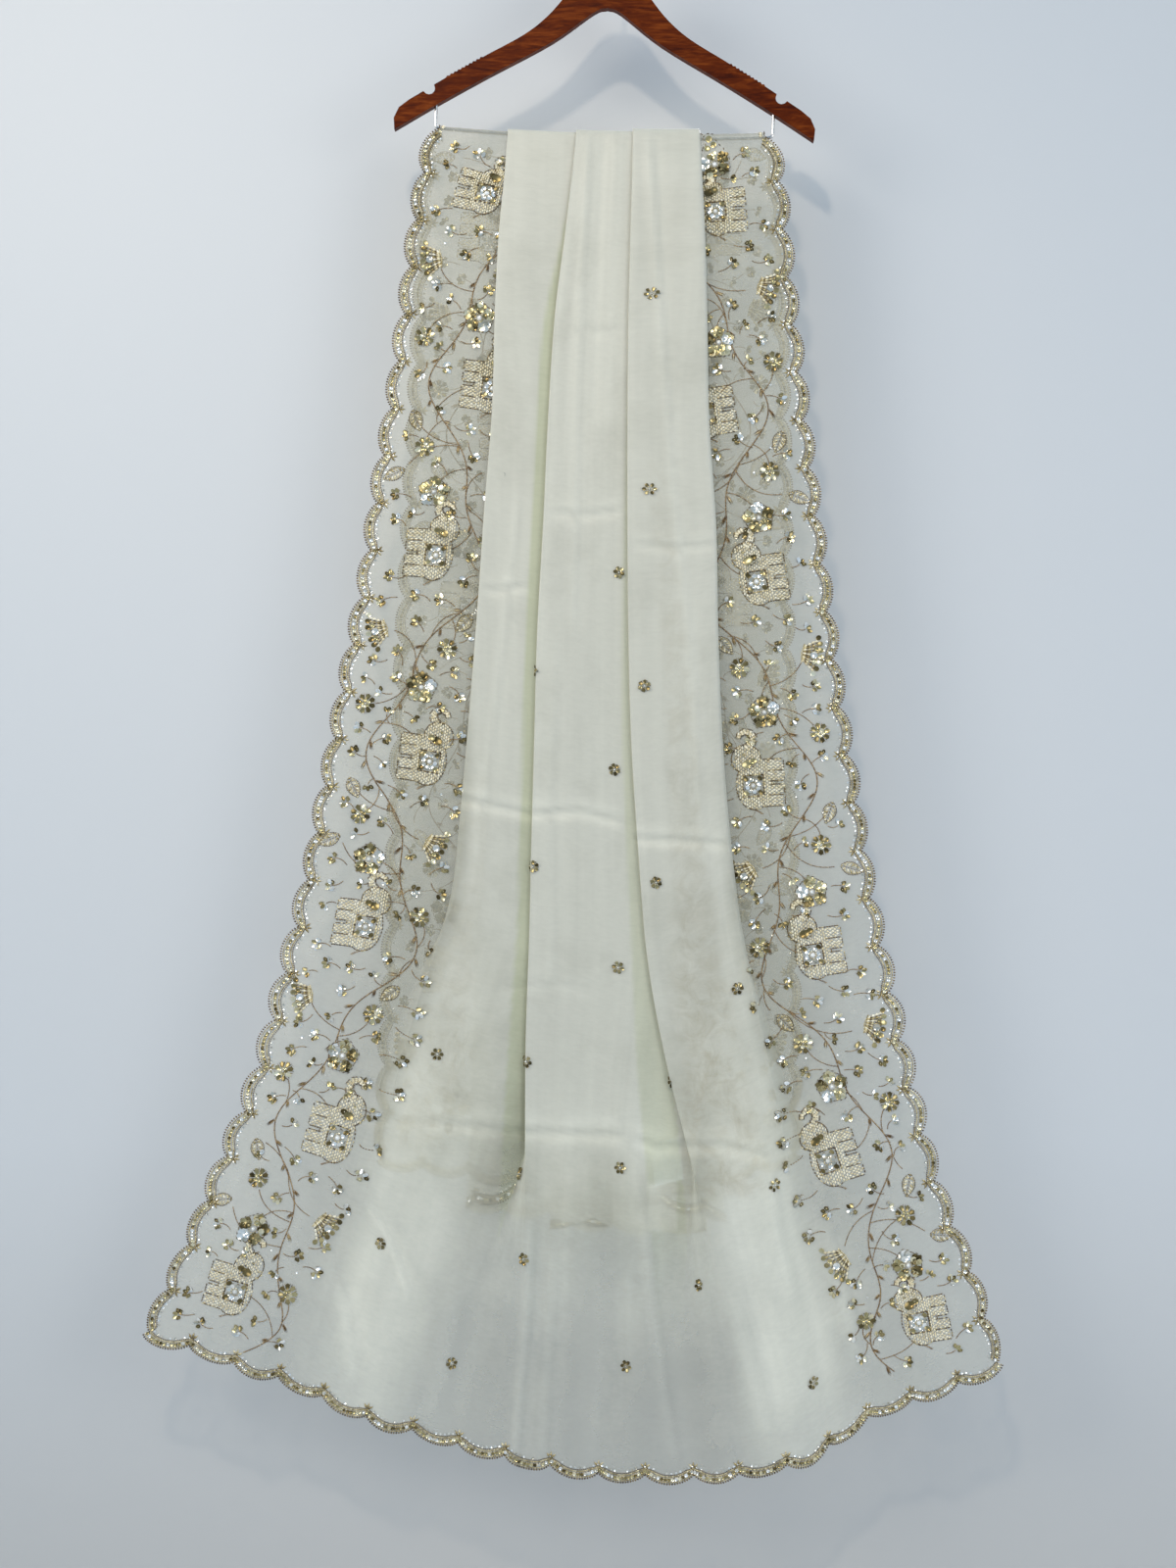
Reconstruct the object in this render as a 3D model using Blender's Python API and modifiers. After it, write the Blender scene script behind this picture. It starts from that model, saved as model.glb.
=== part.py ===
# Dupatta stole folded over the trouser bar of a wooden clothes hanger.
# Metres, +Z up, X to the right, the front fall on the -Y side.
# The origin is the inside top of the hanger's hook, where a rail would carry it.

import math

import bpy
import bmesh
from mathutils import Vector

# Cloth
CLOTH_WALL = 0.0010        # thickness of the cloth's wall
SEAM_GAP = 0.0003          # gap between pieces that meet
CUT_WIDTH = 0.940          # cloth's width from edge to edge, laid flat
CLOTH_SHIFT = -0.007       # the cloth's middle hangs this far left of the hook
TURN_STEPS = 3             # facets in each half turn of a pleat
RUN_STEPS = 2              # facets in the stretch that runs back in a tuck
PIECES_PER_TUCK = 4        # a stretch, a turn, the run back and the second turn
PANEL_STEPS = (5, 3, 3, 3, 5)      # facets in the stretches between the tucks
TOP_STEPS = 6              # facets of the fold over the bar
FRONT_ROWS = 25            # rows of the front fall
BACK_ROWS = 15             # rows of the back fall
ROW_EVENNESS = 0.55        # 1 spaces a fall's rows evenly, less packs them at the bar
SHORTEST_TUCK = 0.012      # a tuck that has run out keeps this much cloth
OPEN_LAYERS = 3            # cloth that has opened out lies this many layers forward
FLUTE_START = 0.6          # share of its depth that a flute has at the level of the bar

# Scalloped edging
EDGING_WALL = 0.0014
SCALLOP_PITCH = 0.0495     # along the edge, cusp to cusp
SCALLOP_CUSP = 0.0025      # edging's width at a cusp
SCALLOP_LOBE = 0.0125      # edging's width at the middle of a lobe
SCALLOP_ROUNDNESS = 0.6    # 1 gives a pointed wave, less a fuller lobe
SCALLOP_STEPS = 4          # facets in each scallop
SCALLOP_SNAP = 0.003       # a facet this close to a corner of the cloth's edge joins it
CORNER_REACH = 0.009       # the hem's edging runs on past the cloth's corners

# Label on the inner face of the back fall
LABEL_WIDTH = 0.030
LABEL_HEIGHT = 0.046
LABEL_WALL = 0.0010
LABEL_START = 0.792        # distance across the cloth of its inner side
LABEL_HEM_GAP = 0.004      # its lower edge above the hem
LABEL_SLANT = 0.004        # its lower edge lies this far across from its upper one
LABEL_ROWS = 4
LABEL_COLUMNS = 3

# Hanger
HANG_TILT = math.radians(-1.6)     # the hanger hangs with its right end lower
WOOD_DEPTH = 0.012                 # thickness of the wood, front to back
APEX_DROP = 0.108                  # hook's inside top to the underside of the apex
HOOK_WIRE = 0.0036                 # diameter of the hook's wire
HOOK_RADIUS = 0.0215               # hook's arc, to the middle of its wire
BAR_WIRE = 0.0032                  # diameter of the trouser bar's wire
BAR_DROP = 0.2365                  # hook's inside top to the bar's axis at its ends
BAR_HALF = 0.1755                  # middle of the bar to its leg
BAR_BOW = 0.0055                   # the bar sags this much in its middle
BAR_CORNER = 0.004                 # bend radius between the bar and its leg
SOCKET_DEPTH = 0.010               # depth of the hole that holds a wire's end
SOCKET_GAP = 0.0003                # clearance round a wire in its hole
SOCKET_LEAD = 0.006                # the drill starts this far outside the wood
SOCKET_SIDES = 16
WELD_DISTANCE = 0.00001            # points closer than this are one point
HOOK_START = math.radians(196)     # where the hook's arc starts, at its open end
HOOK_END = math.radians(-58)       # where the arc turns back towards the stem
HOOK_NECK = 0.014                  # height of the bend from the arc to the stem
HOOK_FACETS = 28
NECK_FACETS = 6
CORNER_FACETS = 4
BAR_FACETS = 12
NOTCH_FACETS = 6

BAR_CLEAR = BAR_WIRE / 2 + SEAM_GAP + CLOTH_WALL / 2

# Where the folds lie across the cloth, measured from its left edge
FOLD_AT = {
    "left": 0.163,
    "a_in": 0.328, "a_out": 0.400,
    "b_in": 0.597, "b_out": 0.673,
    "right": 0.785,
}

# A row for each level of a fall, from the bar (0) to the hem (1). Places are x from
# the cloth's middle; a tuck is how far a fold is tucked in, below zero once it is open.
LEVEL_COLUMNS = (
    "level", "left", "left_fold", "left_tuck", "a_fold", "a_tuck",
    "b_fold", "b_tuck", "right_fold", "right_tuck", "right",
    "layer", "stand_off", "open",
)
FRONT_LEVELS = (
    (0.00, -0.168, -0.100, 0.077, -0.029, 0.047, 0.030, 0.061, 0.100, 0.070, 0.164, 0.00135, 0.0024, 0.0),
    (0.03, -0.181, -0.103, 0.075, -0.033, 0.049, 0.029, 0.065, 0.102, 0.068, 0.176, 0.0023, 0.0040, 0.0),
    (0.08, -0.191, -0.109, 0.071, -0.041, 0.053, 0.027, 0.071, 0.105, 0.063, 0.182, 0.0028, 0.0065, 0.0),
    (0.14, -0.200, -0.113, 0.065, -0.051, 0.057, 0.025, 0.075, 0.107, 0.057, 0.189, 0.0030, 0.0085, 0.0),
    (0.22, -0.213, -0.116, 0.053, -0.058, 0.060, 0.024, 0.078, 0.109, 0.048, 0.200, 0.0031, 0.0105, 0.0),
    (0.30, -0.229, -0.124, 0.044, -0.063, 0.063, 0.024, 0.080, 0.116, 0.045, 0.212, 0.0032, 0.0120, 0.0),
    (0.38, -0.243, -0.131, 0.034, -0.069, 0.066, 0.025, 0.082, 0.118, 0.035, 0.225, 0.0032, 0.0130, 0.0),
    (0.46, -0.262, -0.139, 0.023, -0.072, 0.069, 0.028, 0.083, 0.122, 0.024, 0.238, 0.0032, 0.0140, 0.0),
    (0.54, -0.281, -0.148, 0.014, -0.075, 0.071, 0.035, 0.081, 0.130, 0.016, 0.254, 0.0032, 0.0150, 0.0),
    (0.62, -0.300, -0.160, 0.005, -0.078, 0.071, 0.043, 0.078, 0.143, 0.008, 0.270, 0.0032, 0.0160, 0.02),
    (0.70, -0.322, -0.190, -0.010, -0.086, 0.063, 0.050, 0.067, 0.162, -0.006, 0.290, 0.0032, 0.0170, 0.22),
    (0.78, -0.348, -0.220, -0.020, -0.093, 0.049, 0.061, 0.051, 0.182, -0.016, 0.312, 0.0032, 0.0180, 0.50),
    (0.86, -0.387, -0.249, -0.030, -0.098, 0.036, 0.070, 0.037, 0.203, -0.020, 0.340, 0.0032, 0.0190, 0.78),
    (0.93, -0.425, -0.271, -0.030, -0.103, 0.025, 0.075, 0.025, 0.223, -0.020, 0.375, 0.0032, 0.0200, 1.0),
    (1.00, -0.465, -0.292, -0.030, -0.106, 0.020, 0.081, 0.020, 0.239, -0.020, 0.402, 0.0032, 0.0210, 1.0),
)
BACK_LEVELS = (
    (0.00, -0.168, -0.100, 0.077, -0.029, 0.047, 0.030, 0.061, 0.100, 0.070, 0.164, 0.00135, 0.0024, 0.0),
    (0.04, -0.179, -0.103, 0.077, -0.031, 0.048, 0.030, 0.062, 0.101, 0.071, 0.172, 0.0023, 0.0040, 0.0),
    (0.10, -0.183, -0.107, 0.076, -0.034, 0.050, 0.031, 0.063, 0.103, 0.072, 0.177, 0.0028, 0.0060, 0.0),
    (0.25, -0.192, -0.114, 0.076, -0.039, 0.052, 0.032, 0.064, 0.107, 0.074, 0.183, 0.0030, 0.0085, 0.0),
    (0.50, -0.206, -0.124, 0.075, -0.046, 0.056, 0.035, 0.066, 0.113, 0.078, 0.189, 0.0032, 0.0110, 0.0),
    (0.75, -0.218, -0.134, 0.074, -0.051, 0.059, 0.038, 0.067, 0.120, 0.082, 0.194, 0.0032, 0.0130, 0.0),
    (1.00, -0.229, -0.143, 0.073, -0.055, 0.060, 0.040, 0.068, 0.127, 0.086, 0.198, 0.0032, 0.0150, 0.0),
)

# A row for each place across the cloth: its distance from the left edge, how far
# below the bar the hem lies there, and how far the open flutes stand out there.
HEM_COLUMNS = ("across", "front_drop", "back_drop", "flute")
HEM_ROWS = (
    (0.000, 1.243, 1.070, 0.000),
    (0.070, 1.258, 1.078, 0.009),
    (0.165, 1.294, 1.094, -0.004),
    (0.245, 1.325, 1.115, 0.008),
    (0.328, 1.348, 1.129, -0.003),
    (0.400, 1.362, 1.134, 0.013),
    (0.480, 1.379, 1.137, 0.009),
    (0.560, 1.387, 1.138, -0.003),
    (0.600, 1.387, 1.138, -0.005),
    (0.673, 1.376, 1.131, 0.012),
    (0.735, 1.364, 1.118, 0.009),
    (0.800, 1.326, 1.102, -0.010),
    (0.870, 1.298, 1.086, 0.004),
    (0.940, 1.276, 1.068, -0.004),
)

# The hanger's outline on one side of its middle: distance out and distance below
# the underside of the apex.
WOOD_UNDERSIDE = (
    (0.000, 0.000), (0.014, 0.005), (0.057, 0.037), (0.122, 0.074), (0.173, 0.104), (0.218, 0.132),
)
WOOD_SHOULDER = (
    (0.012, -0.045), (0.024, -0.037), (0.042, -0.014), (0.062, 0.010), (0.086, 0.030), (0.124, 0.052),
)
TEETH_START = (0.128, 0.0545)
TEETH_END = (0.166, 0.077)
TEETH_COUNT = 10
TOOTH_HEIGHT = 0.0013
NOTCH_START = (0.178, 0.0845)
NOTCH_END = (0.189, 0.0915)
NOTCH_DEPTH = 0.007
WOOD_END = ((0.204, 0.101), (0.214, 0.109), (0.219, 0.120))
OUTLINE_STEPS = 5


def named_rows(columns, rows):
    return [dict(zip(columns, row)) for row in rows]


levels = {
    "front": named_rows(LEVEL_COLUMNS, FRONT_LEVELS),
    "back": named_rows(LEVEL_COLUMNS, BACK_LEVELS),
}
hem_rows = named_rows(HEM_COLUMNS, HEM_ROWS)


def read_table(rows, key, place, column):
    """Value of a column at a place, eased through the rows by a Catmull-Rom curve."""
    last = len(rows) - 1
    place = min(max(place, rows[0][key]), rows[last][key])
    low = 0
    while low < last - 1 and rows[low + 1][key] < place:
        low += 1
    before, start = rows[max(low - 1, 0)], rows[low]
    end, after = rows[low + 1], rows[min(low + 2, last)]
    span = end[key] - start[key]
    share = (place - start[key]) / span
    rise_start = (end[column] - before[column]) / (end[key] - before[key]) * span
    rise_end = (after[column] - start[column]) / (after[key] - start[key]) * span
    square, cube = share ** 2, share ** 3
    return (
        start[column] * (2 * cube - 3 * square + 1)
        + rise_start * (cube - 2 * square + share)
        + end[column] * (3 * square - 2 * cube)
        + rise_end * (cube - square)
    )


def level_row(side, level):
    return {name: read_table(levels[side], "level", level, name) for name in LEVEL_COLUMNS}


def bar_height(x):
    """Height of the bar's axis, which is tilted with the hanger and sags."""
    along = (x + CLOTH_SHIFT - BAR_DROP * math.sin(HANG_TILT)) / BAR_HALF
    sag = BAR_BOW * max(1.0 - along ** 2, 0.0)
    return -BAR_DROP * math.cos(HANG_TILT) + (x + CLOTH_SHIFT) * math.tan(HANG_TILT) - sag


# Pleated sections. A section runs from the left edge to the right one as lines and
# arcs in x and height above the innermost layer. Each fold is a tuck: a turn at its
# tip, the stretch that runs back, and a second turn.

def tuck(start, tip, depth, first_radius, second_radius, side):
    """Arc, line and arc of a tuck, and the point where the next stretch starts."""
    rise = first_radius + second_radius
    run = depth - rise
    turn = math.pi if run >= 0 else 2 * math.atan2(rise, -run)
    first = (tip - first_radius, start[1] + side * first_radius)
    second = (first[0] - run, first[1] + side * rise)
    quarter = math.pi / 2
    return [
        ("arc", first, first_radius, -quarter, turn - quarter, side),
        ("line", arc_point(first, first_radius, turn - quarter, side),
         arc_point(second, second_radius, turn + quarter, side)),
        ("arc", second, second_radius, turn + quarter, quarter, side),
    ]


def arc_point(centre, radius, angle, side):
    return (centre[0] + radius * math.cos(angle), centre[1] + side * radius * math.sin(angle))


def piece_length(piece):
    if piece[0] == "line":
        return math.dist(piece[1], piece[2])
    return piece[2] * abs(piece[4] - piece[3])


def piece_point(piece, share):
    if piece[0] == "line":
        return tuple(a + (b - a) * share for a, b in zip(piece[1], piece[2]))
    angle = piece[3] + (piece[4] - piece[3]) * share
    return arc_point(piece[1], piece[2], angle, piece[5])


def section(row):
    """Pieces of a level's section, each with the stretch of cloth that it takes."""
    half = row["layer"] / 2
    left_out = FOLD_AT["left"] + max(row["left_tuck"], SHORTEST_TUCK)
    right_in = FOLD_AT["right"] - max(row["right_tuck"], SHORTEST_TUCK)
    folds = (
        (FOLD_AT["left"], left_out, row["left_fold"] + row["left_tuck"], row["left_tuck"], half, half, 1),
        (FOLD_AT["a_in"], FOLD_AT["a_out"], row["a_fold"] + row["a_tuck"], row["a_tuck"], half, half, 1),
        (FOLD_AT["b_in"], FOLD_AT["b_out"], row["b_fold"] + row["b_tuck"], row["b_tuck"], half, half, 1),
        (right_in, FOLD_AT["right"], row["right_fold"], row["right_tuck"], 3 * half, half, -1),
    )
    pieces = []
    across, place = 0.0, (row["left"], 0.0)
    for fold_in, fold_out, tip, depth, first_radius, second_radius, side in folds:
        turned = tuck(place, tip, depth, first_radius, second_radius, side)
        entry = piece_point(turned[0], 0.0)
        pieces.append((across, fold_in, ("line", place, entry)))
        total = sum(piece_length(piece) for piece in turned)
        across = fold_in
        for piece in turned:
            taken = (fold_out - fold_in) * piece_length(piece) / total
            pieces.append((across, across + taken, piece))
            across += taken
        across, place = fold_out, piece_point(turned[2], 1.0)
    pieces.append((across, CUT_WIDTH, ("line", place, (row["right"], place[1]))))
    return pieces


def section_point(pieces, across):
    for start, end, piece in pieces:
        if across <= end:
            break
    share = (across - start) / (end - start) if end > start else 0.0
    return piece_point(piece, min(max(share, 0.0), 1.0))


def section_stations(row):
    """Distances across the cloth of a section's columns, the same number each time."""
    panel_steps = iter(PANEL_STEPS)
    stations = [0.0]
    for index, (start, end, piece) in enumerate(section(row)):
        if piece[0] == "arc":
            steps = TURN_STEPS
        elif index % PIECES_PER_TUCK == 0:
            steps = next(panel_steps)
        else:
            steps = RUN_STEPS
        stations += [start + (end - start) * step / steps for step in range(1, steps + 1)]
    return stations


def fall_point(side, row, pieces, across):
    """A point of the cloth's middle surface on a fall."""
    level, opened = row["level"], row["open"]
    x, height = section_point(pieces, across)
    drop = read_table(hem_rows, "across", across, side + "_drop")
    if opened > 0.0:
        open_x = row["left"] + (row["right"] - row["left"]) * across / CUT_WIDTH
        flute = read_table(hem_rows, "across", across, "flute") * (FLUTE_START + (1 - FLUTE_START) * level)
        open_height = OPEN_LAYERS * row["layer"] + flute
        x += (open_x - x) * opened
        height += (open_height - height) * opened
    out = row["stand_off"] + height
    z = bar_height(x) * (1 - level) + (-BAR_DROP - drop) * level
    y = -out if side == "front" else out
    return Vector((x + CLOTH_SHIFT, y, z))


def fall_grid(side, rows):
    """Rows of points down a fall, closer together near the bar."""
    first = SEAM_GAP / read_table(hem_rows, "across", CUT_WIDTH / 2, side + "_drop")
    grid = []
    for index in range(rows + 1):
        share = index / rows
        level = first + (1 - first) * (ROW_EVENNESS * share + (1 - ROW_EVENNESS) * share ** 2)
        row = level_row(side, level)
        row["level"] = level
        pieces = section(row)
        grid.append([fall_point(side, row, pieces, across) for across in section_stations(row)])
    return grid


def top_grid():
    """Points of the fold over the bar, from its front edge to its back one."""
    row = level_row("front", 0.0)
    pieces = section(row)
    grid = []
    for index in range(TOP_STEPS + 1):
        angle = math.pi * index / TOP_STEPS
        line = []
        for across in section_stations(row):
            x, height = section_point(pieces, across)
            radius = BAR_CLEAR + height
            line.append(Vector((
                x + CLOTH_SHIFT,
                -radius * math.cos(angle),
                bar_height(x) + radius * math.sin(angle),
            )))
        grid.append(line)
    return grid


# Building

def clear_scene():
    for old in list(bpy.data.objects):
        bpy.data.objects.remove(old, do_unlink=True)


def new_collection(name):
    collection = bpy.data.collections.new(name)
    bpy.context.scene.collection.children.link(collection)
    return collection


def new_material(name, colour, roughness, metallic=0.0):
    material = bpy.data.materials.new(name)
    material.use_nodes = True
    shader = material.node_tree.nodes["Principled BSDF"]
    shader.inputs["Base Color"].default_value = (*colour, 1.0)
    shader.inputs["Roughness"].default_value = roughness
    shader.inputs["Metallic"].default_value = metallic
    return material


def sheet_object(name, grid, wall, material, collection):
    """A grid of points made into a wall of cloth."""
    mesh = bpy.data.meshes.new(name)
    width = len(grid[0])
    points = [point for line in grid for point in line]
    faces = []
    for i in range(len(grid) - 1):
        for j in range(width - 1):
            corner = i * width + j
            faces.append((corner, corner + 1, corner + width + 1, corner + width))
    mesh.from_pydata(points, [], faces)
    mesh.materials.append(material)
    mesh.shade_smooth()
    sheet = bpy.data.objects.new(name, mesh)
    collection.objects.link(sheet)
    solid = sheet.modifiers.new("wall", "SOLIDIFY")
    solid.thickness = wall
    solid.offset = 0.0
    solid.use_even_offset = False
    return sheet


def sample_line(points, distances, place):
    """Point at a distance along a line of points."""
    index = 0
    while index < len(points) - 2 and distances[index + 1] < place:
        index += 1
    span = distances[index + 1] - distances[index]
    return points[index].lerp(points[index + 1], (place - distances[index]) / span)


def running_lengths(points):
    lengths = [0.0]
    for before, after in zip(points, points[1:]):
        lengths.append(lengths[-1] + (after - before).length)
    return lengths


def scallop_width(share):
    """Edging's width at a share of the way from one cusp to the next."""
    swell = math.sin(math.pi * (share % 1.0)) ** SCALLOP_ROUNDNESS
    return SCALLOP_CUSP + (SCALLOP_LOBE - SCALLOP_CUSP) * swell


def edging_object(name, edge, inner, material, collection, plain_until=0.0, extend=0.0):
    """Scalloped strip along an edge of the cloth. inner is the next line of points in."""
    outward = [(a - b).normalized() for a, b in zip(edge, inner)]
    edge = list(edge)
    if extend:
        edge = [edge[0] + (edge[0] - edge[1]).normalized() * extend] + edge
        edge = edge + [edge[-1] + (edge[-1] - edge[-2]).normalized() * extend]
        outward = [outward[0]] + outward + [outward[-1]]
    lengths = running_lengths(edge)
    scalloped = lengths[-1] - plain_until
    count = round(scalloped / SCALLOP_PITCH)
    steps = count * SCALLOP_STEPS
    places = list(lengths)
    for step in range(steps + 1):
        place = plain_until + scalloped * step / steps
        if all(abs(place - length) > SCALLOP_SNAP for length in lengths):
            places.append(place)
    places.sort()
    inner_line, outer_line = [], []
    for place in places:
        point = sample_line(edge, lengths, place)
        direction = sample_line(outward, lengths, place).normalized()
        share = max(place - plain_until, 0.0) / scalloped * count
        inner_line.append(point + direction * SEAM_GAP)
        outer_line.append(point + direction * (SEAM_GAP + scallop_width(share)))
    return sheet_object(name, [inner_line, outer_line], EDGING_WALL, material, collection)


def build_label(material, collection):
    """Plain label on the back fall's inner face, made from its points moved forward."""
    hem = read_table(hem_rows, "across", LABEL_START, "back_drop")
    grid = []
    for i in range(LABEL_ROWS + 1):
        height = LABEL_HEM_GAP + LABEL_HEIGHT * (1 - i / LABEL_ROWS)
        row = level_row("back", 1 - height / hem)
        row["level"] = 1 - height / hem
        pieces = section(row)
        line = []
        for j in range(LABEL_COLUMNS + 1):
            across = LABEL_START + LABEL_WIDTH * j / LABEL_COLUMNS + LABEL_SLANT * i / LABEL_ROWS
            point = fall_point("back", row, pieces, across)
            line.append(point - Vector((0, CLOTH_WALL / 2 + SEAM_GAP + LABEL_WALL / 2, 0)))
        grid.append(line)
    return sheet_object("care_label", grid, LABEL_WALL, material, collection)


def smooth_run(points, steps):
    """Points along a Catmull-Rom curve through an outline's points."""
    rows = [{"at": index, "x": x, "drop": drop} for index, (x, drop) in enumerate(points)]
    total = (len(points) - 1) * steps
    return [
        tuple(read_table(rows, "at", step / steps, key) for key in ("x", "drop"))
        for step in range(total + 1)
    ]


def arm_outline():
    """Right half of the wood's outline, from the neck round the arm to the apex."""
    outline = smooth_run(WOOD_SHOULDER, OUTLINE_STEPS)
    run = Vector(TEETH_END) - Vector(TEETH_START)
    normal = Vector((run.y, -run.x)).normalized()
    for index in range(TEETH_COUNT):
        root = Vector(TEETH_START) + run * index / TEETH_COUNT
        crest = Vector(TEETH_START) + run * (index + 0.5) / TEETH_COUNT + normal * TOOTH_HEIGHT
        outline += [tuple(root), tuple(crest)]
    outline.append(TEETH_END)
    run = Vector(NOTCH_END) - Vector(NOTCH_START)
    normal = Vector((-run.y, run.x)).normalized()
    for index in range(NOTCH_FACETS + 1):
        angle = math.pi * index / NOTCH_FACETS
        place = Vector(NOTCH_START) + run * (1 - math.cos(angle)) / 2
        outline.append(tuple(place + normal * NOTCH_DEPTH * math.sin(angle)))
    outline += list(WOOD_END)
    underside = smooth_run(WOOD_UNDERSIDE, OUTLINE_STEPS)
    return outline + underside[::-1]


def mesh_from_curve(curve_object):
    """The curve's evaluated shape as a mesh object with welded caps."""
    bpy.context.view_layer.update()
    graph = bpy.context.evaluated_depsgraph_get()
    mesh = bpy.data.meshes.new_from_object(curve_object.evaluated_get(graph))
    shape = bmesh.new()
    shape.from_mesh(mesh)
    bmesh.ops.remove_doubles(shape, verts=shape.verts, dist=WELD_DISTANCE)
    shape.to_mesh(mesh)
    shape.free()
    made = bpy.data.objects.new(curve_object.name, mesh)
    made.matrix_world = curve_object.matrix_world.copy()
    for collection in curve_object.users_collection:
        collection.objects.link(made)
    name = curve_object.name
    bpy.data.objects.remove(curve_object)
    made.name = name
    return made


def wire_object(name, points, diameter, material, collection):
    curve = bpy.data.curves.new(name, "CURVE")
    curve.dimensions = "3D"
    curve.bevel_depth = diameter / 2
    curve.bevel_resolution = 2
    curve.use_fill_caps = True
    spline = curve.splines.new("POLY")
    spline.points.add(len(points) - 1)
    for target, (x, z) in zip(spline.points, points):
        target.co = (x, 0.0, z, 1.0)
    curve.materials.append(material)
    wire = bpy.data.objects.new(name, curve)
    collection.objects.link(wire)
    return wire


def drill(body, x, z_mouth, diameter, direction, cutters):
    """Round hole for a wire's end, going up (1) or down (-1) from its mouth."""
    length = SOCKET_DEPTH + SOCKET_LEAD
    radius = diameter / 2 + SOCKET_GAP
    bpy.ops.mesh.primitive_cylinder_add(vertices=SOCKET_SIDES, radius=radius, depth=length)
    cutter = bpy.context.object
    cutter.name = "socket_cutter"
    cutter.location = (x, 0.0, z_mouth + direction * (SOCKET_DEPTH - SOCKET_LEAD) / 2)
    for collection in list(cutter.users_collection):
        collection.objects.unlink(cutter)
    cutters.objects.link(cutter)
    cutter.hide_render = True
    cutter.display_type = "WIRE"
    cutter.parent = body.parent
    cut = body.modifiers.new("socket", "BOOLEAN")
    cut.operation = "DIFFERENCE"
    cut.object = cutter


def underside_drop(x):
    rows = [{"x": out, "drop": drop} for out, drop in WOOD_UNDERSIDE]
    return read_table(rows, "x", x, "drop")


def build_hanger(wood, chrome, collection, cutters):
    pivot = bpy.data.objects.new("hanging_pivot", None)
    collection.objects.link(pivot)
    pivot.rotation_euler = (0.0, -HANG_TILT, 0.0)

    half = arm_outline()
    mirrored = [(-x, drop) for x, drop in half[-2::-1]]
    curve = bpy.data.curves.new("hanger_body", "CURVE")
    curve.dimensions = "2D"
    curve.fill_mode = "BOTH"
    curve.extrude = WOOD_DEPTH / 2
    spline = curve.splines.new("POLY")
    outline = half + mirrored
    spline.points.add(len(outline) - 1)
    for target, (x, drop) in zip(spline.points, outline):
        target.co = (x, -drop, 0.0, 1.0)
    spline.use_cyclic_u = True
    curve.materials.append(wood)
    body = bpy.data.objects.new("hanger_body", curve)
    collection.objects.link(body)
    body.location = (0.0, 0.0, -APEX_DROP)
    body.rotation_euler = (math.pi / 2, 0.0, 0.0)
    body = mesh_from_curve(body)
    body.parent = pivot

    inner = HOOK_RADIUS - HOOK_WIRE / 2
    neck_top = -APEX_DROP - WOOD_SHOULDER[0][1]
    hook_path = []
    for step in range(HOOK_FACETS + 1):
        angle = HOOK_START + (HOOK_END - HOOK_START) * step / HOOK_FACETS
        hook_path.append((HOOK_RADIUS * math.cos(angle), -inner + HOOK_RADIUS * math.sin(angle)))
    bend_start = hook_path[-1]
    stem_top = bend_start[1] - HOOK_NECK
    for step in range(1, NECK_FACETS + 1):
        share = step / NECK_FACETS
        x = bend_start[0] * (1 - share) ** 2
        hook_path.append((x, bend_start[1] + (stem_top - bend_start[1]) * share))
    hook_path.append((0.0, neck_top - SOCKET_DEPTH + SOCKET_GAP))
    hook = wire_object("hanger_hook", hook_path, HOOK_WIRE, chrome, collection)
    hook.parent = pivot
    drill(body, 0.0, neck_top, HOOK_WIRE, -1, cutters)

    leg_mouth = -APEX_DROP - underside_drop(BAR_HALF)
    leg_top = leg_mouth + SOCKET_DEPTH - SOCKET_GAP
    bar_path = [(-BAR_HALF, leg_top)]
    for step in range(CORNER_FACETS + 1):
        angle = math.pi + (math.pi / 2) * step / CORNER_FACETS
        bar_path.append((
            -BAR_HALF + BAR_CORNER + BAR_CORNER * math.cos(angle),
            -BAR_DROP + BAR_CORNER + BAR_CORNER * math.sin(angle),
        ))
    span = BAR_HALF - BAR_CORNER
    for step in range(1, BAR_FACETS):
        x = -span + 2 * span * step / BAR_FACETS
        bar_path.append((x, -BAR_DROP - BAR_BOW * (1 - (x / BAR_HALF) ** 2)))
    bar_path += [(-x, z) for x, z in bar_path[CORNER_FACETS + 1::-1]]
    bar = wire_object("trouser_bar", bar_path, BAR_WIRE, chrome, collection)
    bar.parent = pivot
    for x in (-BAR_HALF, BAR_HALF):
        drill(body, x, leg_mouth, BAR_WIRE, 1, cutters)


def build_cloth(sheer, gold, white, collection):
    front = fall_grid("front", FRONT_ROWS)
    back = fall_grid("back", BACK_ROWS)
    top = top_grid()
    sheet_object("front_fall", front, CLOTH_WALL, sheer, collection)
    sheet_object("top_fold", top, CLOTH_WALL, sheer, collection)
    sheet_object("back_fall", back, CLOTH_WALL, sheer, collection)
    build_label(white, collection)

    for side, edge_column, inner_column in (("left", 0, 1), ("right", -1, -2)):
        over = [line[edge_column] for line in reversed(top)]
        over_inner = [line[inner_column] for line in reversed(top)]
        edging_object(
            "edging_front_" + side,
            over + [line[edge_column] for line in front],
            over_inner + [line[inner_column] for line in front],
            gold, collection, plain_until=running_lengths(over)[-1],
        )
        edging_object(
            "edging_back_" + side,
            [line[edge_column] for line in back],
            [line[inner_column] for line in back],
            gold, collection,
        )
    edging_object("edging_front_hem", front[-1], front[-2], gold, collection, extend=CORNER_REACH)
    edging_object("edging_back_hem", back[-1], back[-2], gold, collection, extend=CORNER_REACH)


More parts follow.
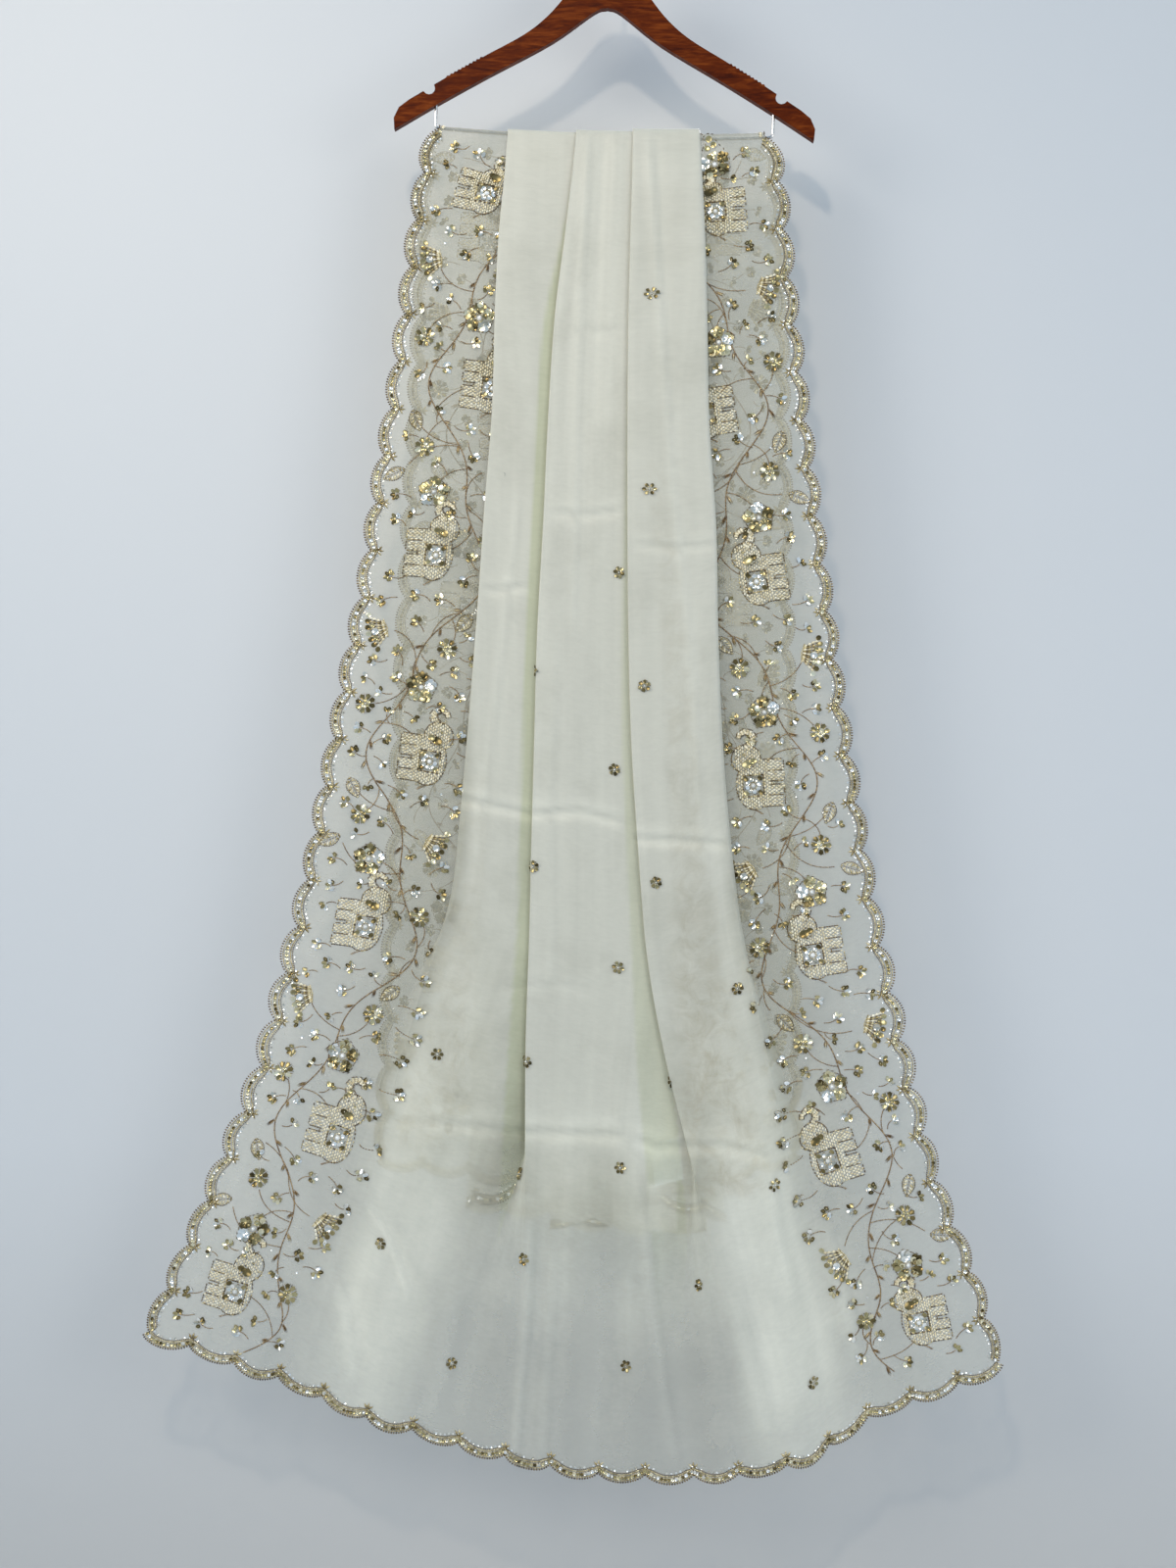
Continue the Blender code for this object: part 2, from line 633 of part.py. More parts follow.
def main():
    clear_scene()
    parts = new_collection("dupatta_stole_on_hanger")
    cutters = new_collection("cutters")
    sheer = new_material("ivory_organza", (0.82, 0.84, 0.78), 0.75)
    gold = new_material("gold_edging", (0.55, 0.40, 0.16), 0.35, 0.8)
    white = new_material("white_label", (0.85, 0.86, 0.86), 0.8)
    wood = new_material("red_brown_wood", (0.22, 0.06, 0.025), 0.25)
    chrome = new_material("chrome_wire", (0.75, 0.76, 0.78), 0.2, 1.0)
    build_hanger(wood, chrome, parts, cutters)
    build_cloth(sheer, gold, white, parts)
    bpy.context.view_layer.update()


main()
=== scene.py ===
import math
import random
import bpy
import numpy as np
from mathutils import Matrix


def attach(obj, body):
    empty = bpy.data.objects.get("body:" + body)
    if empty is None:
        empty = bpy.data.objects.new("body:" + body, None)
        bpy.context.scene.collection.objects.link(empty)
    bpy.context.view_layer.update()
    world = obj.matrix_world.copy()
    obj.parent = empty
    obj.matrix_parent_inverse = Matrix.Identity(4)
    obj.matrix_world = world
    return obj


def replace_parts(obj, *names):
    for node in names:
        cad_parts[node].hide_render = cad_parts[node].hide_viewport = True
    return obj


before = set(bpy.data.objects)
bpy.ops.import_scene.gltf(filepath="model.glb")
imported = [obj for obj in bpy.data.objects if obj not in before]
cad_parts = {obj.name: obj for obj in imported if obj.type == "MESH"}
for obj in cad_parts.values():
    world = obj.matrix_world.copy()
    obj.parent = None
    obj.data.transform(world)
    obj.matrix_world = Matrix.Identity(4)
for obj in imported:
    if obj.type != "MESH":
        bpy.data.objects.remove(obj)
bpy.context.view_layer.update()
scene = bpy.context.scene
print("frame loaded:", len(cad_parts), "nodes")

pixelSize = 0.00102          # metres for one pixel of the photograph, at the cloth
hookPixel = (623, -96)       # where the hook's inside top would lie in the photograph


def pixelX(x):
    return (x - hookPixel[0]) * pixelSize


def pixelZ(y):
    return -(y - hookPixel[1]) * pixelSize


# Camera, level with the middle of the photograph
camera = {"distance": 2.75, "middle": (600, 800), "pixelsHigh": 1600, "sensor": 36.0}


def buildCamera():
    data = bpy.data.cameras.new("photoCamera")
    data.sensor_width = camera["sensor"]
    data.lens = camera["sensor"] * camera["distance"] / (camera["pixelsHigh"] * pixelSize)
    eye = bpy.data.objects.new("photoCamera", data)
    scene.collection.objects.link(eye)
    eye.location = (pixelX(camera["middle"][0]), -camera["distance"], pixelZ(camera["middle"][1]))
    eye.rotation_euler = (math.pi / 2, 0, 0)
    scene.camera = eye


# Shader helpers
def newMaterial(name, color=(0.8, 0.8, 0.8), roughness=0.5, metallic=0.0, **inputs):
    material = bpy.data.materials.new(name)
    material.use_nodes = True
    shader = material.node_tree.nodes["Principled BSDF"]
    shader.inputs["Base Color"].default_value = (*color, 1.0)
    shader.inputs["Roughness"].default_value = roughness
    shader.inputs["Metallic"].default_value = metallic
    for key, value in inputs.items():
        shader.inputs[key].default_value = value
    return material, material.node_tree, shader


def addNode(tree, kind, **values):
    node = tree.nodes.new(kind)
    for key, value in values.items():
        if key in node.inputs:
            node.inputs[key].default_value = value
        else:
            setattr(node, key, value)
    return node


def addMath(tree, operation, *values, clamp=False):
    node = addNode(tree, "ShaderNodeMath", operation=operation, use_clamp=clamp)
    for socket, value in zip(node.inputs, values):
        if isinstance(value, (int, float)):
            socket.default_value = value
        else:
            tree.links.new(value, socket)
    return node.outputs[0]


def addNoise(tree, place, scale, detail, roughness=0.5, distortion=0.0):
    noise = addNode(tree, "ShaderNodeTexNoise", Scale=scale, Detail=detail, Roughness=roughness,
                    Distortion=distortion)
    tree.links.new(place, noise.inputs["Vector"])
    return noise.outputs["Fac"]


def stretchPlace(tree, place, scale):
    mapping = addNode(tree, "ShaderNodeMapping", Scale=scale)
    tree.links.new(place, mapping.inputs["Vector"])
    return mapping.outputs["Vector"]


def objectPlace(tree):
    return tree.nodes.new("ShaderNodeTexCoord").outputs["Object"]


def readMark(tree, name):
    return addNode(tree, "ShaderNodeAttribute", attribute_name=name).outputs["Fac"]


def mixColor(tree, factor, first, second):
    mix = addNode(tree, "ShaderNodeMix", data_type="RGBA")
    tree.links.new(factor, mix.inputs["Factor"])
    tree.links.new(first, mix.inputs["A"])
    mix.inputs["B"].default_value = (*second, 1.0)
    return mix.outputs["Result"]


def colorRamp(tree, factor, stops):
    ramp = tree.nodes.new("ShaderNodeValToRGB")
    elements = ramp.color_ramp.elements
    while len(elements) < len(stops):
        elements.new(0.5)
    for element, (place, color) in zip(elements, stops):
        element.position = place
        element.color = (*color, 1.0)
    tree.links.new(factor, ramp.inputs["Fac"])
    return ramp.outputs["Color"]


def addBump(tree, shader, height, strength, distance):
    bump = addNode(tree, "ShaderNodeBump", Strength=strength, Distance=distance)
    tree.links.new(height, bump.inputs["Height"])
    tree.links.new(bump.outputs["Normal"], shader.inputs["Normal"])


def newGroup(name, inputs, outputs):
    group = bpy.data.node_groups.new(name, "ShaderNodeTree")
    for socketName, value in inputs.items():
        socket = group.interface.new_socket(name=socketName, in_out="INPUT", socket_type="NodeSocketFloat")
        socket.default_value = value
    for socketName in outputs:
        group.interface.new_socket(name=socketName, in_out="OUTPUT", socket_type="NodeSocketFloat")
    return group, group.nodes.new("NodeGroupInput"), group.nodes.new("NodeGroupOutput")


def useGroup(tree, group, **values):
    node = tree.nodes.new("ShaderNodeGroup")
    node.node_tree = group
    for key, value in values.items():
        node.inputs[key].default_value = value
    return node


def linkObject(name, data):
    made = bpy.data.objects.new(name, data)
    scene.collection.objects.link(made)
    return made


# Cloth, hung over the bar in the same folds as its solids
sides = ("front", "back")
cloth = {
    "width": 0.940, "shift": -0.007, "shortestTuck": 0.012, "openLayers": 3, "fluteStart": 0.6,
    "barClear": 0.0024, "barDrop": 0.2365, "barHalf": 0.1755, "barBow": 0.0055,
    "barTilt": math.radians(-1.6), "frontRows": 318, "backRows": 200, "turnRows": 14,
    "turnSpan": 0.0128, "panelSteps": (38, 34, 58, 18, 34), "arcSteps": 5, "runSteps": 12,
    "gap": 0.0003, "reach": 0.004, "textureFall": 1.35,
}
foldAt = {
    "left": 0.163, "aIn": 0.328, "aOut": 0.400, "bIn": 0.597, "bOut": 0.673, "right": 0.785,
}
levelColumns = (
    "level", "left", "leftFold", "leftTuck", "aFold", "aTuck",
    "bFold", "bTuck", "rightFold", "rightTuck", "right", "layer", "standOff", "open",
)
frontLevels = (
    (0.00, -0.168, -0.100, 0.077, -0.029, 0.047, 0.030, 0.061, 0.100, 0.070, 0.164, 0.00135, 0.0024, 0.0),
    (0.03, -0.181, -0.103, 0.075, -0.033, 0.049, 0.029, 0.065, 0.102, 0.068, 0.176, 0.0023, 0.0040, 0.0),
    (0.08, -0.191, -0.109, 0.071, -0.041, 0.053, 0.027, 0.071, 0.105, 0.063, 0.182, 0.0028, 0.0065, 0.0),
    (0.14, -0.200, -0.113, 0.065, -0.051, 0.057, 0.025, 0.075, 0.107, 0.057, 0.189, 0.0030, 0.0085, 0.0),
    (0.22, -0.213, -0.116, 0.053, -0.058, 0.060, 0.024, 0.078, 0.109, 0.048, 0.200, 0.0031, 0.0105, 0.0),
    (0.30, -0.229, -0.124, 0.044, -0.063, 0.063, 0.024, 0.080, 0.116, 0.045, 0.212, 0.0032, 0.0120, 0.0),
    (0.38, -0.243, -0.131, 0.034, -0.069, 0.066, 0.025, 0.082, 0.118, 0.035, 0.225, 0.0032, 0.0130, 0.0),
    (0.46, -0.262, -0.139, 0.023, -0.072, 0.069, 0.028, 0.083, 0.122, 0.024, 0.238, 0.0032, 0.0140, 0.0),
    (0.54, -0.281, -0.148, 0.014, -0.075, 0.071, 0.035, 0.081, 0.130, 0.016, 0.254, 0.0032, 0.0150, 0.0),
    (0.62, -0.300, -0.160, 0.005, -0.078, 0.071, 0.043, 0.078, 0.143, 0.008, 0.270, 0.0032, 0.0160, 0.02),
    (0.70, -0.322, -0.190, -0.010, -0.086, 0.063, 0.050, 0.067, 0.162, -0.006, 0.290, 0.0032, 0.0170, 0.22),
    (0.78, -0.348, -0.220, -0.020, -0.093, 0.049, 0.061, 0.051, 0.182, -0.016, 0.312, 0.0032, 0.0180, 0.50),
    (0.86, -0.387, -0.249, -0.030, -0.098, 0.036, 0.070, 0.037, 0.203, -0.020, 0.340, 0.0032, 0.0190, 0.78),
    (0.93, -0.425, -0.271, -0.030, -0.103, 0.025, 0.075, 0.025, 0.223, -0.020, 0.375, 0.0032, 0.0200, 1.0),
    (1.00, -0.465, -0.292, -0.030, -0.106, 0.020, 0.081, 0.020, 0.239, -0.020, 0.402, 0.0032, 0.0210, 1.0),
)
backLevels = (
    (0.00, -0.168, -0.100, 0.077, -0.029, 0.047, 0.030, 0.061, 0.100, 0.070, 0.164, 0.00135, 0.0024, 0.0),
    (0.04, -0.179, -0.103, 0.077, -0.031, 0.048, 0.030, 0.062, 0.101, 0.071, 0.172, 0.0023, 0.0040, 0.0),
    (0.10, -0.183, -0.107, 0.076, -0.034, 0.050, 0.031, 0.063, 0.103, 0.072, 0.177, 0.0028, 0.0060, 0.0),
    (0.25, -0.192, -0.114, 0.076, -0.039, 0.052, 0.032, 0.064, 0.107, 0.074, 0.183, 0.0030, 0.0085, 0.0),
    (0.50, -0.206, -0.124, 0.075, -0.046, 0.056, 0.035, 0.066, 0.113, 0.078, 0.189, 0.0032, 0.0110, 0.0),
    (0.75, -0.218, -0.134, 0.074, -0.051, 0.059, 0.038, 0.067, 0.120, 0.082, 0.194, 0.0032, 0.0130, 0.0),
    (1.00, -0.229, -0.143, 0.073, -0.055, 0.060, 0.040, 0.068, 0.127, 0.086, 0.198, 0.0032, 0.0150, 0.0),
)
hemColumns = ("across", "frontDrop", "backDrop", "flute")
hemRows = (
    (0.000, 1.243, 1.070, 0.000),
    (0.070, 1.258, 1.078, 0.009),
    (0.165, 1.294, 1.094, -0.004),
    (0.245, 1.325, 1.115, 0.008),
    (0.328, 1.348, 1.129, -0.003),
    (0.400, 1.362, 1.134, 0.013),
    (0.480, 1.379, 1.137, 0.009),
    (0.560, 1.387, 1.138, -0.003),
    (0.600, 1.387, 1.138, -0.005),
    (0.673, 1.376, 1.131, 0.012),
    (0.735, 1.364, 1.118, 0.009),
    (0.800, 1.326, 1.102, -0.010),
    (0.870, 1.298, 1.086, 0.004),
    (0.940, 1.276, 1.068, -0.004),
)
# Packing creases: pixels of each line from left to right, then height and half width in metres
creases = (
    (((452, 812), (477, 818), (540, 832), (590, 829), (640, 842)), 0.0030, 0.0048),
    (((330, 806), (400, 812), (478, 822)), 0.0020, 0.0050),
    (((640, 857), (680, 858), (712, 860), (746, 864)), 0.0030, 0.0048),
    (((746, 862), (800, 858), (860, 846)), 0.0010, 0.0050),
    (((555, 526), (600, 529), (640, 524)), 0.0018, 0.0044),
    (((640, 560), (690, 563), (735, 560)), 0.0018, 0.0044),
    (((488, 603), (505, 605), (545, 600)), 0.0020, 0.0044),
    (((430, 1143), (518, 1153), (580, 1156), (641, 1157)), 0.0036, 0.0062),
    (((641, 1157), (668, 1169), (735, 1166), (790, 1181)), 0.0034, 0.0062),
    (((330, 1128), (380, 1140), (440, 1146)), 0.0012, 0.0060),
    (((575, 340), (607, 344), (638, 338)), 0.0008, 0.0045),
    (((500, 1010), (560, 1004), (610, 1012)), 0.0010, 0.0060),
)
# Pleats down the cloth: pixels of each line from top to bottom, then height and half width
pleats = (
    (((542, 1222), (539, 1320), (531, 1410), (524, 1494)), 0.0034, 0.0058),
    (((565, 1246), (560, 1360), (552, 1490)), 0.0020, 0.0065),
    (((652, 1205), (664, 1320), (676, 1410), (688, 1485)), 0.0030, 0.0070),
    (((352, 1203), (377, 1226), (396, 1254), (408, 1282), (417, 1310)), 0.0034, 0.0036),
    (((786, 1150), (784, 1200), (790, 1250), (806, 1310)), 0.0026, 0.0060),
    (((470, 1290), (458, 1370), (440, 1440)), 0.0026, 0.0100),
    (((610, 1280), (612, 1380), (606, 1480)), 0.0016, 0.0100),
    (((742, 1290), (758, 1370), (778, 1450)), 0.0026, 0.0100),
    (((838, 1225), (852, 1300), (872, 1380)), 0.0030, 0.0090),
    (((330, 1270), (352, 1330), (362, 1400)), 0.0026, 0.0080),
    (((600, 125), (594, 260), (588, 420), (584, 640)), 0.0011, 0.0050),
    (((618, 122), (612, 260), (608, 430)), -0.0011, 0.0060),
    (((660, 122), (672, 330), (686, 516), (700, 640), (708, 760), (716, 880)), 0.0012, 0.0042),
    (((532, 480), (514, 640), (500, 760), (492, 830)), 0.0010, 0.0045),
    (((566, 640), (560, 820), (562, 1000)), 0.0009, 0.0060),
)


def tableOf(columns, rows):
    values = np.array(rows)
    return {name: values[:, index] for index, name in enumerate(columns)}


levels = {"front": tableOf(levelColumns, frontLevels), "back": tableOf(levelColumns, backLevels)}
hemTable = tableOf(hemColumns, hemRows)


def readTable(table, key, place, column):
    at, value = table[key], table[column]
    place = np.clip(place, at[0], at[-1])
    low = np.clip(np.searchsorted(at, place) - 1, 0, len(at) - 2)
    before, after = np.maximum(low - 1, 0), np.minimum(low + 2, len(at) - 1)
    span = at[low + 1] - at[low]
    share = (place - at[low]) / span
    riseStart = (value[low + 1] - value[before]) / (at[low + 1] - at[before]) * span
    riseEnd = (value[after] - value[low]) / (at[after] - at[low]) * span
    square, cube = share ** 2, share ** 3
    return (value[low] * (2 * cube - 3 * square + 1) + riseStart * (cube - 2 * square + share)
            + value[low + 1] * (3 * square - 2 * cube) + riseEnd * (cube - square))


def smoothStep(value):
    value = np.clip(value, 0, 1)
    return value * value * (3 - 2 * value)


# 1 between two limits, eased to 0 outside them
def window(value, first, last, soft, softEnd=None):
    return smoothStep((value - first) / soft) * smoothStep((last - value) / (softEnd or soft))


def runningLengths(line):
    return np.concatenate([[0], np.cumsum(np.linalg.norm(np.diff(line, axis=0), axis=1))])


def pointAt(line, lengths, at):
    return [np.interp(at, lengths, column) for column in line.T]


def levelRow(side, level):
    return {name: float(readTable(levels[side], "level", level, name)) for name in levelColumns}


def hemDrop(side, across):
    return readTable(hemTable, "across", across, side + "Drop")


def barHeight(x):
    along = (x + cloth["shift"] - cloth["barDrop"] * math.sin(cloth["barTilt"])) / cloth["barHalf"]
    sag = cloth["barBow"] * np.maximum(1 - along ** 2, 0)
    level = -cloth["barDrop"] * math.cos(cloth["barTilt"])
    return level + (x + cloth["shift"]) * math.tan(cloth["barTilt"]) - sag


# One line across the cloth at a level: knots of distance across, x and height, and its stations
def sectionLine(row):
    half, shortest = row["layer"] / 2, cloth["shortestTuck"]
    leftOut = foldAt["left"] + max(row["leftTuck"], shortest)
    rightIn = foldAt["right"] - max(row["rightTuck"], shortest)
    folds = [
        (start, end, row[name + "Fold"] + row[name + "Tuck"], row[name + "Tuck"], half, 1)
        for name, start, end in (("left", foldAt["left"], leftOut), ("a", foldAt["aIn"], foldAt["aOut"]),
                                 ("b", foldAt["bIn"], foldAt["bOut"]))
    ]
    folds.append((rightIn, foldAt["right"], row["rightFold"], row["rightTuck"], 3 * half, -1))
    quarter = math.pi / 2
    bend = cloth["arcSteps"]
    sweep = np.linspace(0, 1, bend + 1)
    knots, stations = [(0.0, row["left"], 0.0)], [np.array([0.0])]
    for (foldIn, foldOut, tip, depth, radius, side), steps in zip(folds, cloth["panelSteps"]):
        rise = radius + half
        run = depth - rise
        turn = math.pi if run >= 0 else 2 * math.atan2(rise, -run)
        first = (tip - radius, knots[-1][2] + side * radius)
        second = (first[0] - run, first[1] + side * rise)
        path = []
        for middle, size, start, end in (
            (first, radius, -quarter, turn - quarter), (second, half, turn + quarter, quarter),
        ):
            angle = start + (end - start) * sweep
            x, height = middle[0] + size * np.cos(angle), middle[1] + side * size * np.sin(angle)
            path.append(np.stack([x, height], 1))
        path = np.concatenate(path)
        lengths = runningLengths(path)
        taken = foldIn + (foldOut - foldIn) * lengths / lengths[-1]
        stations += [
            np.linspace(stations[-1][-1], foldIn, steps + 1)[1:], taken[1:bend + 1],
            np.linspace(taken[bend], taken[bend + 1], cloth["runSteps"] + 1)[1:], taken[bend + 2:],
        ]
        knots += [(place, x, height) for place, (x, height) in zip(taken, path)]
    stations.append(np.linspace(stations[-1][-1], cloth["width"], cloth["panelSteps"][-1] + 1)[1:])
    knots.append((cloth["width"], row["right"], knots[-1][2]))
    return np.array(knots), np.concatenate(stations)


# Soft waves: height, then turns for each metre and starts
longWave = {"height": 0.0011, "across": 31, "wander": 1.6, "wanderDown": 5.3, "down": 6.1, "start": 0.7}
slantWave = {"height": 0.0008, "across": 57, "down": 7.7, "start": 1.1}
flutes = ((0.0046, 24, 3.1, 0.6), (0.0030, 49, -6.0, 2.0), (0.0026, 88, 4.2, 0.9))
fluteForm = {"from": -1.00, "over": 0.35, "least": 0.7, "swell": 0.3, "swellDown": 9, "swellAcross": 14,
             "wander": 0.7, "wanderDown": 4.2, "wanderAcross": 3}
gathers = {"height": 0.0011, "across": 430, "wander": 3, "wanderAcross": 90, "from": 0.112, "soft": 0.012,
           "below": 0.045, "reach": 0.045, "settle": 0.16}
# The low rim beside a crease or pleat, by its height, distance and width, and how the lines end
rims = {"crease": (0.5, 1.8, 1.4), "pleat": (0.4, 1.9, 1.5)}
lineEnds = {"crease": 0.015, "pleatTop": 0.05, "pleatFoot": 0.03, "pleatRunOut": 0.6}


def pixelLine(line):
    line = np.array(line, float)
    return pixelX(line[:, 0]), pixelZ(line[:, 1])


def ridge(away, rim):
    high, off, wide = rims[rim]
    return np.exp(-away ** 2) - high * np.exp(-((away - off) / wide) ** 2)


# Creases go behind the cloth's own face, pleats in front of it
def creaseHeight(x, z):
    found = np.zeros(np.broadcast(x, z).shape)
    for line, height, half in creases:
        lineX, lineZ = pixelLine(line)
        ends = window(x, lineX[0], lineX[-1], lineEnds["crease"])
        found += height * ends * ridge((z - np.interp(x, lineX, lineZ)) / half, "crease")
    for line, height, half in pleats:
        lineX, lineZ = pixelLine(line)
        ends = smoothStep((lineZ[0] - z) / lineEnds["pleatTop"])
        ends = ends * smoothStep((z - lineZ[-1]) / lineEnds["pleatFoot"] + lineEnds["pleatRunOut"])
        found -= height * ends * ridge((x - np.interp(-z, -lineZ, lineX)) / half, "pleat")
    return found


def ripple(x, z):
    down = smoothStep((-cloth["barDrop"] - z) / gathers["settle"])
    wander = longWave["wander"] * np.sin(z * longWave["wanderDown"])
    shift = (down * longWave["height"] * np.sin(x * longWave["across"] + wander)
             * np.sin(z * longWave["down"] + longWave["start"]))
    slant = np.sin(x * slantWave["across"] + z * slantWave["down"] + slantWave["start"])
    shift += down * slantWave["height"] * slant
    low = smoothStep((fluteForm["from"] - z) / fluteForm["over"])
    wander = fluteForm["wander"] * np.sin(z * fluteForm["wanderDown"] + x * fluteForm["wanderAcross"])
    for height, across, along, start in flutes:
        swell = np.sin(z * fluteForm["swellDown"] + x * fluteForm["swellAcross"] + start)
        swell = fluteForm["least"] + fluteForm["swell"] * swell
        shift += low * height * swell * np.sin(x * across + z * along + wander + start)
    tight = np.exp(-((z + cloth["barDrop"] + gathers["below"]) / gathers["reach"]) ** 2)
    outside = smoothStep((np.abs(x) - gathers["from"]) / gathers["soft"])
    wander = gathers["wander"] * np.sin(x * gathers["wanderAcross"])
    shift += gathers["height"] * tight * outside * np.sin(x * gathers["across"] + wander)
    return shift + creaseHeight(x, z)


def fallLine(side, level, across):
    row = levelRow(side, level)
    knots, _ = sectionLine(row)
    inside = np.clip(across, 0, cloth["width"])
    x = np.interp(inside, knots[:, 0], knots[:, 1])
    height = np.interp(inside, knots[:, 0], knots[:, 2])
    if row["open"] > 0:
        openX = row["left"] + (row["right"] - row["left"]) * inside / cloth["width"]
        start = cloth["fluteStart"]
        flute = readTable(hemTable, "across", inside, "flute") * (start + (1 - start) * min(level, 1))
        x = x + (openX - x) * row["open"]
        height = height + (cloth["openLayers"] * row["layer"] + flute - height) * row["open"]
    facing = -1 if side == "front" else 1
    if level < 0:
        angle = math.pi * -level / cloth["turnSpan"]
        radius = cloth["barClear"] + height
        y = facing * radius * math.cos(angle)
        z = barHeight(x) + radius * math.sin(angle)
    else:
        y = facing * (row["standOff"] + height)
        z = barHeight(x) * (1 - level) - (cloth["barDrop"] + hemDrop(side, inside)) * level
    return np.stack([x + cloth["shift"], y, z], 1)


# Points of the cloth's face, and past its edges along the way that it ends there
def fallPoints(side, level, across):
    across = np.asarray(across, float)
    inner = min(level, 1.0)
    points = fallLine(side, inner, across)
    reach, width = cloth["reach"], cloth["width"]
    if level > 1:
        way = points - fallLine(side, 1 - reach, across)
        way /= np.linalg.norm(way, axis=1, keepdims=True)
        points = points + way * (level - 1) * hemDrop(side, across)[:, None]
    for edge, inward, beyond in ((0.0, reach, -across), (width, width - reach, across - width)):
        ends = fallLine(side, inner, np.array([edge, inward]))
        way = ends[0] - ends[1]
        points = points + np.maximum(beyond, 0)[:, None] * way / np.linalg.norm(way)
    points[:, 1] += ripple(points[:, 0], points[:, 2])
    return points


# Scalloped outline of the edging
edging = {
    "pitch": 0.0495, "cusp": 0.0025, "lobe": 0.0125, "roundness": 0.6, "cornerReach": 0.009,
    "samples": 56, "lift": 0.0004, "lineSteps": 500,
    "hemLevels": ((1.5, 0.86), (2.0, 0.55)),  # level past the hem, share of the side's width there
}


def scallopWidth(share):
    swell = np.abs(np.sin(math.pi * share)) ** edging["roundness"]
    return edging["cusp"] + (edging["lobe"] - edging["cusp"]) * swell


def edgeLine(side, edge):
    if edge == "hem":
        steps = np.linspace(0, cloth["width"], edging["lineSteps"])
        return steps, runningLengths(fallPoints(side, 1.0, steps))
    across = 0.0 if edge == "left" else cloth["width"]
    steps = np.linspace(0, 1, edging["lineSteps"])
    return steps, runningLengths(np.concatenate([fallPoints(side, step, [across]) for step in steps]))


edges = {(side, edge): edgeLine(side, edge) for side in sides for edge in ("left", "right", "hem")}


# Scallops along an edge, how far they reach past its corners, and their whole length
def scallopRun(side, edge):
    reach = edging["cornerReach"] if edge == "hem" else 0.0
    total = edges[side, edge][1][-1] + 2 * reach
    return round(total / edging["pitch"]), reach, total


def edgeWidth(side, edge, place):
    count, reach, total = scallopRun(side, edge)
    return scallopWidth((np.interp(place, *edges[side, edge]) + reach) / total * count)


# How closely the cloth is packed: full where the pleats lie, least where it is a single flat layer; it sets
# how see-through the cloth is, and its painted light and shade colour
packing = {
    "left": 0.165, "right": 0.790, "soften": 0.03, "middle": (0.325, 0.676), "sides": (0.24, 0.70),
    "sidesSoft": (0.13, 0.10), "openFrom": (0.52, 0.72), "openOver": (0.32, 0.14), "sideRest": 0.52,
    "middleRest": 0.10, "hem": (0.93, 0.07), "hemLoss": 0.6, "rear": 0.9,
}
# Painted light and shade: streaks laid into the packing of the open lower cloth, so they change its
# see-through as well
packedShadeStreaks = {
    "strength": 0.16, "from": 0.62, "over": 0.2,
    "waves": (  # share, then turns across, turns down and start of each wave multiplied in
        (1.0, (34, 2, 1.3), (13, 0, -0.4)), (0.5, (71, 9, 0)), (0.35, (21, 46, 0)),
    ),
}


def packedAt(side, across, level):
    soften = packing["soften"]
    inside = window(across, packing["left"], packing["right"], soften)
    if side == "back":
        return packing["rear"] * inside
    middle = window(across, *packing["middle"], soften)
    (sideFrom, middleFrom), (sideOver, middleOver) = packing["openFrom"], packing["openOver"]
    opened = smoothStep((level - sideFrom - (middleFrom - sideFrom) * middle)
                        / (sideOver + (middleOver - sideOver) * middle))
    inner = window(across, *packing["sides"], *packing["sidesSoft"])
    rest = packing["sideRest"] + (packing["middleRest"] - packing["sideRest"]) * inner
    start, over = packing["hem"]
    rest = rest * (1 - packing["hemLoss"] * float(smoothStep((level - start) / over)))
    # painted streaks of light and shade
    paintedStreak = 0
    for share, *waves in packedShadeStreaks["waves"]:
        for turnsAcross, turnsDown, start in waves:
            share = share * np.sin(across * turnsAcross + level * turnsDown + start)
        paintedStreak = paintedStreak + share
    low = smoothStep((level - packedShadeStreaks["from"]) / packedShadeStreaks["over"])
    return np.clip(inside * (1 - opened + opened * rest) + packedShadeStreaks["strength"] * paintedStreak * low, 0, 1)


# Olive painted shade strips where the cloth goes in under a fold
recess = {
    "strips": (  # fold, limits across, width, level it is full at, strength
        ("aFold", (0.18, 0.335), 0.0135, 0.16, 1.0), ("bFold", (0.40, 0.600), 0.0190, 0.80, 0.65),
    ),
    "start": 0.02, "behind": -0.02, "soft": 0.004, "fade": (0.78, 0.14),
}


def recessShadeAt(side, across, x, row, level):
    found = np.zeros(len(across))
    if side == "back":
        return found
    fadeFrom, fadeOver = recess["fade"]
    fade = 1 - float(smoothStep((level - fadeFrom) / fadeOver))
    for fold, (start, end), width, full, strength in recess["strips"]:
        width = width * float(smoothStep((level - recess["start"]) / full))
        away = row[fold] - x
        inside = (across > start) & (across < end) & (away > recess["behind"]) & (width > 0)
        found = np.maximum(found, strength * inside * smoothStep((width - away) / recess["soft"]) * fade)
    return found


# Painted light and shade on the cloth, plain at half: painted highlights at the sides of the open part, along
# creases and folds and in one painted light patch where the label behind shows, a painted light band and
# painted shade in the low middle
satin = {
    "plain": 0.5, "sides": (0.220, 0.745), "half": 0.055, "from": 0.58, "over": 0.26, "bright": 0.40,
    "middle": (0.30, 0.70), "middleSoft": 0.08, "band": (0.70, 0.80, 0.87, 0.93), "raised": 0.16,
    "lowered": -0.16, "crease": 0.13, "creaseFull": 0.002, "edge": 0.09, "edgeHalf": 0.006,
    "edgeFull": 0.1, "edges": (("aFold", foldAt["aOut"], 0.47), ("bFold", foldAt["bOut"], 0.74)),
    "patch": ((661, 1202), (690, 1250)), "patchSoft": 4, "patchBright": 0.26,
}


